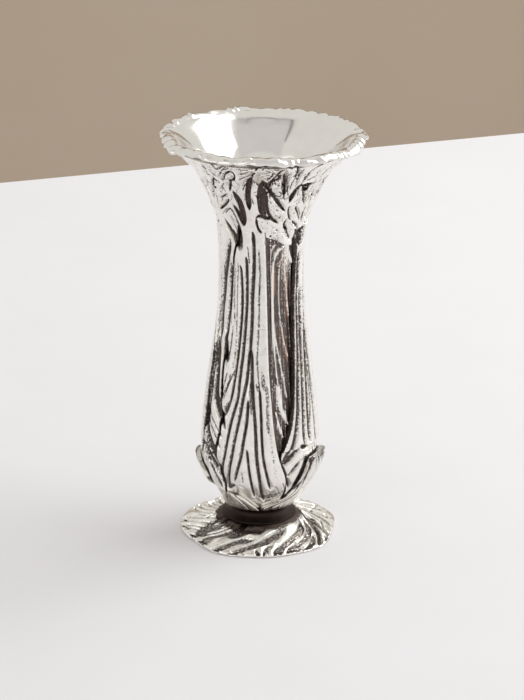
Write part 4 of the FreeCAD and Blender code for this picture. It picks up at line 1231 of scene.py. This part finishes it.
def castFoot():
    shape = footShape
    around, boss, under = shape["around"], shape["bossRadius"], vase["neckFoot"] - shape["wall"]
    azimuth = np.linspace(-180.0, 180.0, around, endpoint=False)
    steps = np.linspace(0.0, 1.0, shape["topRows"])
    heights = vase["footEdge"] + steps * (vase["neckFoot"] - vase["footEdge"])
    sheet = makeSheet(np.repeat(azimuth[None, :], len(steps), axis=0),
                      np.repeat(heights[:, None], around, axis=1))
    drawPhoto(sheet, footStrokes, shape["widen"], upright=False)
    draws = random.Random(shape["seed"])
    start = shape["ribFrom"]
    while start < shape["ribTo"]:
        swing, reach = draws.uniform(*shape["ribSwing"]), draws.uniform(*shape["ribReach"])
        line = []
        for j in range(9):
            t = j / 8 * reach
            turned = shape["swirl"] * swing * t ** shape["ribCurl"]
            line.append((start - turned, shape["ribTop"] - t * shape["ribFall"]))
        halfWidth = shape["grooveHalf"] * draws.uniform(*shape["grooveUneven"])
        for back in (0.0, 360.0):   # the sheet ends at 180 degrees and goes on at -180
            draw(sheet, "trench", halfWidth, [(a - back, z) for a, z in line], 3.0)
        start += draws.uniform(*shape["ribSpread"])
    darkTop = shape["topDark"] * smoothStep(0.70, 1.0, steps)[:, None]
    sheet["dark"] = np.maximum(sheet["dark"], darkTop)

    lobes = footEdge(azimuth)
    edge = vase["footRadius"] + lobes
    inward = np.array([along(footDome, share) for share in steps])[:, None]
    radius = edge[None, :] + inward * (vase["neckFootRadius"] - vase["footRadius"] - lobes[None, :])
    radius = radius + shape["scallop"] * sheet["height"] * smoothStep(0.45, 0.0, steps)[:, None]
    fade = smoothStep(0.0, 0.05, steps)[:, None] * 0.5 + 0.5   # shallower at the very rim
    level = np.maximum(heights[:, None] + sheet["height"] * fade * shape["deepen"], shape["rimRound"])
    rings, darks = turnedRings(azimuth, [
        (shape["bore"], vase["neckFoot"], 0.5), (shape["bore"], shape["bossHeight"], 0.8),
        (boss - 0.02, shape["bossHeight"], 0.8), (boss, 0.05, 0.5), (boss + 0.05, under, 0.8),
        (vase["neckFootRadius"], under - 0.5, 0.8), (shape["rimInside"], shape["rimHeight"], 0.8),
        (shape["rimInside"], 0.0, 0.3),
    ])
    rings.append(polar(edge - shape["rimRound"], azimuth, np.zeros(around)))
    rings.append(polar(edge, azimuth, np.full(around, shape["rimRound"])))
    rings += [polar(radius[j], azimuth, level[j]) for j in range(len(steps))]
    darks += [np.full(around, 0.2)] * 2 + list(sheet["dark"])
    return ringObject("footCast", rings, darks, footSilver, "foot")


def turnedNeck():
    low, high = vase["neckFoot"], vase["neckTop"]
    plan = [(neckShape["bore"], high, 1.0), (neckShape["bore"], low, 1.0)]
    for z in np.linspace(low, high, neckShape["rows"]):
        arch = math.sin(math.pi * (z - low) / (high - low)) ** neckShape["round"]
        cut = neckShape["setBack"] + neckShape["hollow"] * arch
        plan.append((vaseFace(min(z, high - 0.02)) - cut, z, neckShape["dark"]))
    azimuth = np.linspace(-180.0, 180.0, neckShape["around"], endpoint=False)
    rings, darks = turnedRings(azimuth, plan)
    return ringObject("neckTurned", rings, darks, neckSilver, "neck")


made += [castFoot(), turnedNeck()]
print("foot ready")

# Trumpet mouth: a section turned round the axis, drawn out into lobes and hammered at the lip

mouthPlan = {
    "Angular Steps": 720, "Profile Steps": 110,
    "Throat Radius": vase["throatRadius"] * mm, "Lip Radius": vase["lipRadius"] * mm,
    "Lobe Count": 11, "Lobe Depth": 0.6 * mm, "Lip Lift": 0.7 * mm,
    "Hammer Size": 3.6 * mm, "Hammer Depth": 0.42 * mm, "Hammer Band": 4.4 * mm,
    "Rim Width": 3.4 * mm, "Rim Groove": 0.42 * mm, "Groove Half": 0.4 * mm,
    "Wander": 0.9 * mm, "Wander Scale": 130.0, "Flute Count": 19, "Flute Depth": 0.5 * mm, "Flute Stray": 8.0,
    "Ripple": 0.1 * mm, "Ripple Scale": 75.0,
}
# the lip in section: share across it, share of its drop, share of the wall below
lipShape = [(-0.35, 0.2, 0.0), (0.2, 0.0, 0.0), (0.7, 0.4, 0.0), (1.0, 1.0, 0.0), (0.78, 1.0, 0.5),
            (0.25, 0.5, 1.0)]


def mouthSection():
    # points of the mouth's section from its throat, over the crest of the lip, back to the collar
    span = vase["top"] - vase["collar"]
    heights = [vase["collar"] + share * span for share, out in mouthShares]
    under = [(mouthFace(z), z) for z in heights]
    inside = [(vase["throatRadius"] - mouth["throatWall"], vase["collar"])]
    for k, (radius, z) in enumerate(under):
        before, after = under[max(k - 1, 0)], under[min(k + 1, len(under) - 1)]
        run, rise = after[0] - before[0], after[1] - before[1]
        length = math.hypot(run, rise)
        inside.append((radius - mouth["wall"] * rise / length, z + mouth["wall"] * run / length))
    lip = [(vase["lipRadius"] - (1 - out) * mouth["lipWidth"],
            vase["top"] - drop * mouth["lipDrop"] - down * mouth["wall"]) for out, drop, down in lipShape]
    return inside + lip + under[::-1]


def mouthTree():
    # turns the section round the axis, draws it out into lobes and beats its lip
    sockets = [(label, "NodeSocketInt" if isinstance(size, int) else "NodeSocketFloat")
               for label, size in mouthPlan.items()]
    tree = newTree("hammered trumpet mouth", sockets + [("Finish", "NodeSocketMaterial")])
    given = addNode(tree, "NodeGroupInput").outputs
    here = addNode(tree, "GeometryNodeInputPosition").outputs[0]
    split = addNode(tree, "ShaderNodeSeparateXYZ", {}, {0: here}).outputs
    way = addNode(tree, "ShaderNodeMath", {"operation": "ADD", "use_clamp": True}, {0: split["Y"], 1: 0.5})
    section = addNode(tree, "GeometryNodeMeshToCurve", {}, {0: given["Geometry"]}).outputs["Curve"]
    sampled = addNode(tree, "GeometryNodeSampleCurve", {"mode": "FACTOR"}, {
        "Curves": section, "Factor": way.outputs[0]}).outputs["Position"]
    onSection = addNode(tree, "ShaderNodeSeparateXYZ", {}, {0: sampled}).outputs
    hammerScale = addNode(tree, "ShaderNodeMath", {"operation": "DIVIDE"}, {0: 1.0, 1: given["Hammer Size"]})
    dents = addNode(tree, "ShaderNodeTexVoronoi", {"feature": "SMOOTH_F1"}, {
        "Vector": here, "Scale": hammerScale.outputs[0], "Smoothness": 0.25}).outputs["Distance"]
    uneven, swell = (addNode(tree, "ShaderNodeTexNoise", {}, {
        "Vector": here, "Scale": given[label], "Detail": detail}).outputs["Fac"]
        for label, detail in (("Wander Scale", 1.0), ("Ripple Scale", 0.0)))

    # each row: name of the result, operation, then numbers or names of earlier results
    sums = [
        ("turnShare", "ADD", "X", 0.5), ("turn", "MULTIPLY", "turnShare", 2 * math.pi),
        ("reach", "SUBTRACT", "Lip Radius", "Throat Radius"),
        ("pastThroat", "SUBTRACT", "sectionX", "Throat Radius"), ("out", "DIVIDE", "pastThroat", "reach"),
        ("weight", "POWER", "out", 3.0), ("twice", "MULTIPLY", "turn", 2.0),
        ("swayWave", "SINE", "twice"), ("sway", "MULTIPLY", "swayWave", 0.7),
        ("mainTurn", "MULTIPLY_ADD", "turn", "Lobe Count", "sway"), ("mainLobes", "COSINE", "mainTurn"),
        ("slowCount", "SUBTRACT", "Lobe Count", 4.0),
        ("slowTurn", "MULTIPLY_ADD", "turn", "slowCount", 1.1), ("slowLobes", "COSINE", "slowTurn"),
        ("slowShare", "MULTIPLY", "slowLobes", 0.38),
        ("wave", "MULTIPLY_ADD", "mainLobes", 0.62, "slowShare"),
        ("lobes", "MULTIPLY", "weight", "Lobe Depth"),
        ("radius", "MULTIPLY_ADD", "lobes", "wave", "sectionX"),
        ("tiltTurn", "MULTIPLY_ADD", "turn", 3.0, 0.4), ("tilt", "COSINE", "tiltTurn"),
        ("quickCount", "SUBTRACT", "Lobe Count", 2.0), ("quickTurn", "MULTIPLY", "turn", "quickCount"),
        ("quick", "COSINE", "quickTurn"), ("quickShare", "MULTIPLY", "quick", 0.45),
        ("rise", "MULTIPLY_ADD", "tilt", 0.55, "quickShare"), ("fall", "SUBTRACT", "rise", 1.0),
        ("liftHere", "MULTIPLY", "weight", "Lip Lift"), ("lift", "MULTIPLY", "liftHere", "fall"),
        ("height", "ADD", "sectionZ", "lift"), ("sine", "SINE", "turn"),
        ("right", "MULTIPLY", "radius", "sine"), ("cosine", "COSINE", "turn"),
        ("front", "MULTIPLY", "radius", "cosine"), ("back", "MULTIPLY", "front", -1.0),
        # from here on the beating of the lip
        ("xSquare", "MULTIPLY", "X", "X"), ("ySquare", "MULTIPLY", "Y", "Y"),
        ("square", "ADD", "xSquare", "ySquare"), ("fromAxis", "SQRT", "square"),
        ("bandStart", "SUBTRACT", "Lip Radius", "Hammer Band"),
        ("pastBand", "SUBTRACT", "fromAxis", "bandStart"),
        ("inBand", "DIVIDE", "pastBand", "Hammer Band"), ("ease", "SUBTRACT", 2.0, "inBand"),
        ("band", "MULTIPLY", "inBand", "ease"), ("dent", "SUBTRACT", "dents", 0.42),
        ("dentHere", "MULTIPLY", "dent", "band"), ("struck", "MULTIPLY", "dentHere", "Hammer Depth"),
        ("rimStart", "SUBTRACT", "Lip Radius", "Rim Width"),
        ("pastRim", "SUBTRACT", "fromAxis", "rimStart"), ("fromRim", "DIVIDE", "pastRim", "Groove Half"),
        ("rimSquare", "MULTIPLY", "fromRim", "fromRim"), ("rimFall", "MULTIPLY", "rimSquare", -1.0),
        ("rimBell", "EXPONENT", "rimFall"), ("groove", "MULTIPLY", "rimBell", "Rim Groove"),
        ("stray", "SUBTRACT", "uneven", 0.5), ("strayHere", "MULTIPLY", "stray", "band"),
        ("strayDepth", "MULTIPLY", "Wander", 2.0), ("wander", "MULTIPLY", "strayHere", "strayDepth"),
        ("ahead", "MULTIPLY", "Y", -1.0), ("around", "ARCTAN2", "X", "ahead"),
        ("phase", "MULTIPLY", "uneven", "Flute Stray"),
        ("fluteTurn", "MULTIPLY_ADD", "around", "Flute Count", "phase"), ("swing", "SINE", "fluteTurn"),
        ("swingSquare", "MULTIPLY", "swing", "swing"), ("flute", "SUBTRACT", "swingSquare", 0.5),
        ("fluteHere", "MULTIPLY", "flute", "band"), ("fluted", "MULTIPLY", "fluteHere", "Flute Depth"),
        ("swellMean", "SUBTRACT", "swell", 0.5), ("swellHere", "MULTIPLY", "swellMean", "out"),
        ("rippled", "MULTIPLY", "swellHere", "Ripple"), ("cut", "SUBTRACT", "struck", "groove"),
        ("strayed", "ADD", "cut", "wander"), ("folded", "ADD", "strayed", "fluted"),
        ("depth", "ADD", "folded", "rippled"),
    ]
    value = {socket.name: socket for socket in given}
    value.update({"X": split["X"], "Y": split["Y"], "sectionX": onSection["X"], "sectionZ": onSection["Z"],
                  "dents": dents, "uneven": uneven, "swell": swell})
    for name, operation, *terms in sums:
        settings = {"operation": operation, "use_clamp": name in ("out", "inBand")}
        inputs = {k: value.get(term, term) for k, term in enumerate(terms)}
        value[name] = addNode(tree, "ShaderNodeMath", settings, inputs).outputs[0]

    columns = addNode(tree, "ShaderNodeMath", {"operation": "ADD"}, {0: given["Angular Steps"], 1: 1.0})
    grid = addNode(tree, "GeometryNodeMeshGrid", {}, {
        "Size X": 1.0, "Size Y": 1.0, "Vertices X": columns.outputs[0], "Vertices Y": given["Profile Steps"]})
    turned = addNode(tree, "ShaderNodeCombineXYZ", {}, {
        0: value["right"], 1: value["back"], 2: value["height"]})
    shaped = addNode(tree, "GeometryNodeSetPosition", {}, {
        "Geometry": grid.outputs["Mesh"], "Position": turned.outputs[0]})
    joined = addNode(tree, "GeometryNodeMergeByDistance", {}, {
        "Geometry": shaped.outputs[0], "Distance": 0.00002})   # closes the seam
    normal = addNode(tree, "GeometryNodeInputNormal").outputs[0]
    push = addNode(tree, "ShaderNodeVectorMath", {"operation": "SCALE"}, {0: normal, "Scale": value["depth"]})
    beaten = addNode(tree, "GeometryNodeSetPosition", {}, {
        "Geometry": joined.outputs[0], "Offset": push.outputs[0]})
    smooth = addNode(tree, "GeometryNodeSetShadeSmooth", {}, {"Geometry": beaten.outputs[0]})
    real = addNode(tree, "GeometryNodeRealizeInstances", {}, {0: smooth.outputs[0]})
    finish = addNode(tree, "GeometryNodeSetMaterial", {}, {
        "Geometry": real.outputs[0], "Material": given["Finish"]})
    addNode(tree, "NodeGroupOutput", {}, {0: finish.outputs[0]})
    return tree


sectionPoints = smoothPath(mouthSection(), 6)
sectionPoints.append(sectionPoints[0])
sectionMesh = bpy.data.meshes.new("mouth section")
sectionMesh.from_pydata([(r * mm, 0.0, z * mm) for r, z in sectionPoints],
                        [(k, k + 1) for k in range(len(sectionPoints) - 1)], [])
mouthPiece = runTree(addObject("mouth section", sectionMesh), mouthTree(),
                     {**mouthPlan, "Finish": beatenSilver}, "trumpetMouth")
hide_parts("trumpet_bowl")
made.append(mouthPiece)
print("mouth ready")

# Pieces kept as they are: only their finish changes

keptFinish = {
    "foot_stud": zincSteel, "foot_washer": zincSteel, "foot_nut": zincSteel,
    "water_tube": tubeBrass, "tube_bottom": tubeBrass, "throat_sleeve": tubeBrass,
}
for name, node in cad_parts.items():
    finish = keptFinish.get(name, tarnished if name.startswith("inner_") else None)
    if finish:
        node.data.materials.clear()
        node.data.materials.append(finish)

for piece in made:
    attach(piece, "root")

# Floor, backdrop, light and camera

stage = {
    "farLeft": (0, 183), "farRight": (524, 133),   # where the floor ends in the picture
    "near": 4.0, "side": 4.0, "backdropAway": 2.2, "backdropHeight": 0.75, "backdropSide": 1.0,
    "worldColour": "#E2E1DD", "worldLevel": 1.0,
}


def floorPoint(x, y):
    place, ray = photoRay(x, y)
    return (place + ray * (-place.z / ray.z)) * mm


farLeft, farRight = floorPoint(*stage["farLeft"]), floorPoint(*stage["farRight"])
edge = (farRight - farLeft).normalized()
farLeft, farRight = farLeft - edge * stage["side"], farRight + edge * stage["side"]
floorMesh = bpy.data.meshes.new("floor")
floorMesh.from_pydata([(-stage["side"], -stage["near"], 0), (stage["side"], -stage["near"], 0),
                       tuple(farRight), tuple(farLeft)], [], [(0, 1, 2, 3)])
floorMesh.materials.append(floorPaint)
floor = addObject("floor", floorMesh)
away, tall, wide = stage["backdropAway"], stage["backdropHeight"], stage["backdropSide"]
backMesh = bpy.data.meshes.new("backdrop")
backMesh.from_pydata([(-wide, away, -tall), (wide, away, -tall), (wide, away, tall), (-wide, away, tall)],
                     [], [(0, 1, 2, 3)])
backMesh.materials.append(backPaint)
backdrop = addObject("backdrop", backMesh)


def mirrored(x, y, level):
    # where the mirror ray that leaves the inside of the mouth at a pixel reaches a level overhead
    ray, points = rayPoints(x, y, 80, 0.05)
    ups = np.linspace(vase["collar"], vase["top"] - 2.0, 120)
    wide = np.array([mouthFace(float(z)) for z in ups]) - mouth["wall"]
    outside = np.hypot(points[:, 0], points[:, 1]) > np.interp(points[:, 2], ups, wide)
    hit = points[np.nonzero(outside & (points[:, 2] < ups[-1]) & (points[:, 1] > 0))[0][0]]
    slope = np.interp(hit[2] + 0.5, ups, wide) - np.interp(hit[2] - 0.5, ups, wide)
    out = Vector((hit[0], hit[1], 0)).normalized()
    normal = Vector((-out.x, -out.y, slope)).normalized()
    away = ray - 2 * ray.dot(normal) * normal
    return Vector(hit) * mm + away * ((level - hit[2] * mm) / max(away.z, 0.2))


# a grey studio card overhead, out of the camera's sight, that the mirror finish shows
cards = {
    "level": 0.7, "grow": 1.06, "grey": "#D6D3D2", "rim": "#211D1C",
    "places": [(226, 123), (245, 119.5), (276, 119.5), (294, 122), (285, 143), (280, 160), (241, 162)],
}


def glowMaterial(name, hexText):
    # a card that shows its own even tone, whatever lights it
    material, tree = startMaterial(name)
    shine = addNode(tree, "ShaderNodeEmission", {}, {"Color": linearColour(hexText), "Strength": 1.0})
    addNode(tree, "ShaderNodeOutputMaterial", {}, {"Surface": shine.outputs[0]})
    return material


corners = [mirrored(x, y, cards["level"]) for x, y in cards["places"]]
middle = sum(corners, Vector()) / len(corners)
around = [middle + (c - middle) * cards["grow"] for c in corners]
count = len(corners)
rimFaces = [(k, k + 1, k + 1 + count, k + count) for k in range(4)]   # a dark rim along four of its sides
for name, tone, faces in (("cardFace", cards["grey"], [tuple(range(count))]),
                          ("cardRim", cards["rim"], rimFaces)):
    cardMesh = bpy.data.meshes.new(name)
    cardMesh.from_pydata([tuple(c) for c in corners + around], [], faces)
    cardMesh.materials.append(glowMaterial(name, tone))
    card = addObject(name, cardMesh)
    card.visible_camera = False

lamps = {
    "key": {"place": (1.1, 0.25, 1.0), "aim": (0, 0, 0.06), "size": 1.5, "power": 16.0},
    "fill": {"place": (-1.2, -1.3, 0.45), "aim": (0, 0, 0.08), "size": 1.6, "power": 4.0},
}
for name, plan in lamps.items():
    data = bpy.data.lights.new(name, "AREA")
    data.shape, data.size, data.energy = "SQUARE", plan["size"], plan["power"]
    lamp = addObject(name, data)
    lamp.location = plan["place"]
    lamp.rotation_euler = (Vector(plan["aim"]) - Vector(plan["place"])).to_track_quat("-Z", "Y").to_euler()

world = bpy.data.worlds.new("studio")
world.use_nodes = True
world.node_tree.nodes.clear()
glow = addNode(world.node_tree, "ShaderNodeBackground", {}, {
    "Color": linearColour(stage["worldColour"]), "Strength": stage["worldLevel"]})
addNode(world.node_tree, "ShaderNodeOutputWorld", {}, {"Surface": glow.outputs[0]})
bpy.context.scene.world = world

place, turn = cameraTurn()
cameraData = bpy.data.cameras.new("camera")
cameraData.lens, cameraData.sensor_width = cameraPlace["lens"], cameraPlace["sensor"]
camera = addObject("camera", cameraData)
camera.location = place * mm
camera.rotation_mode = "QUATERNION"
camera.rotation_quaternion = turn
bpy.context.scene.camera = camera
bpy.context.scene.view_settings.view_transform = "Standard"

print("scene ready")
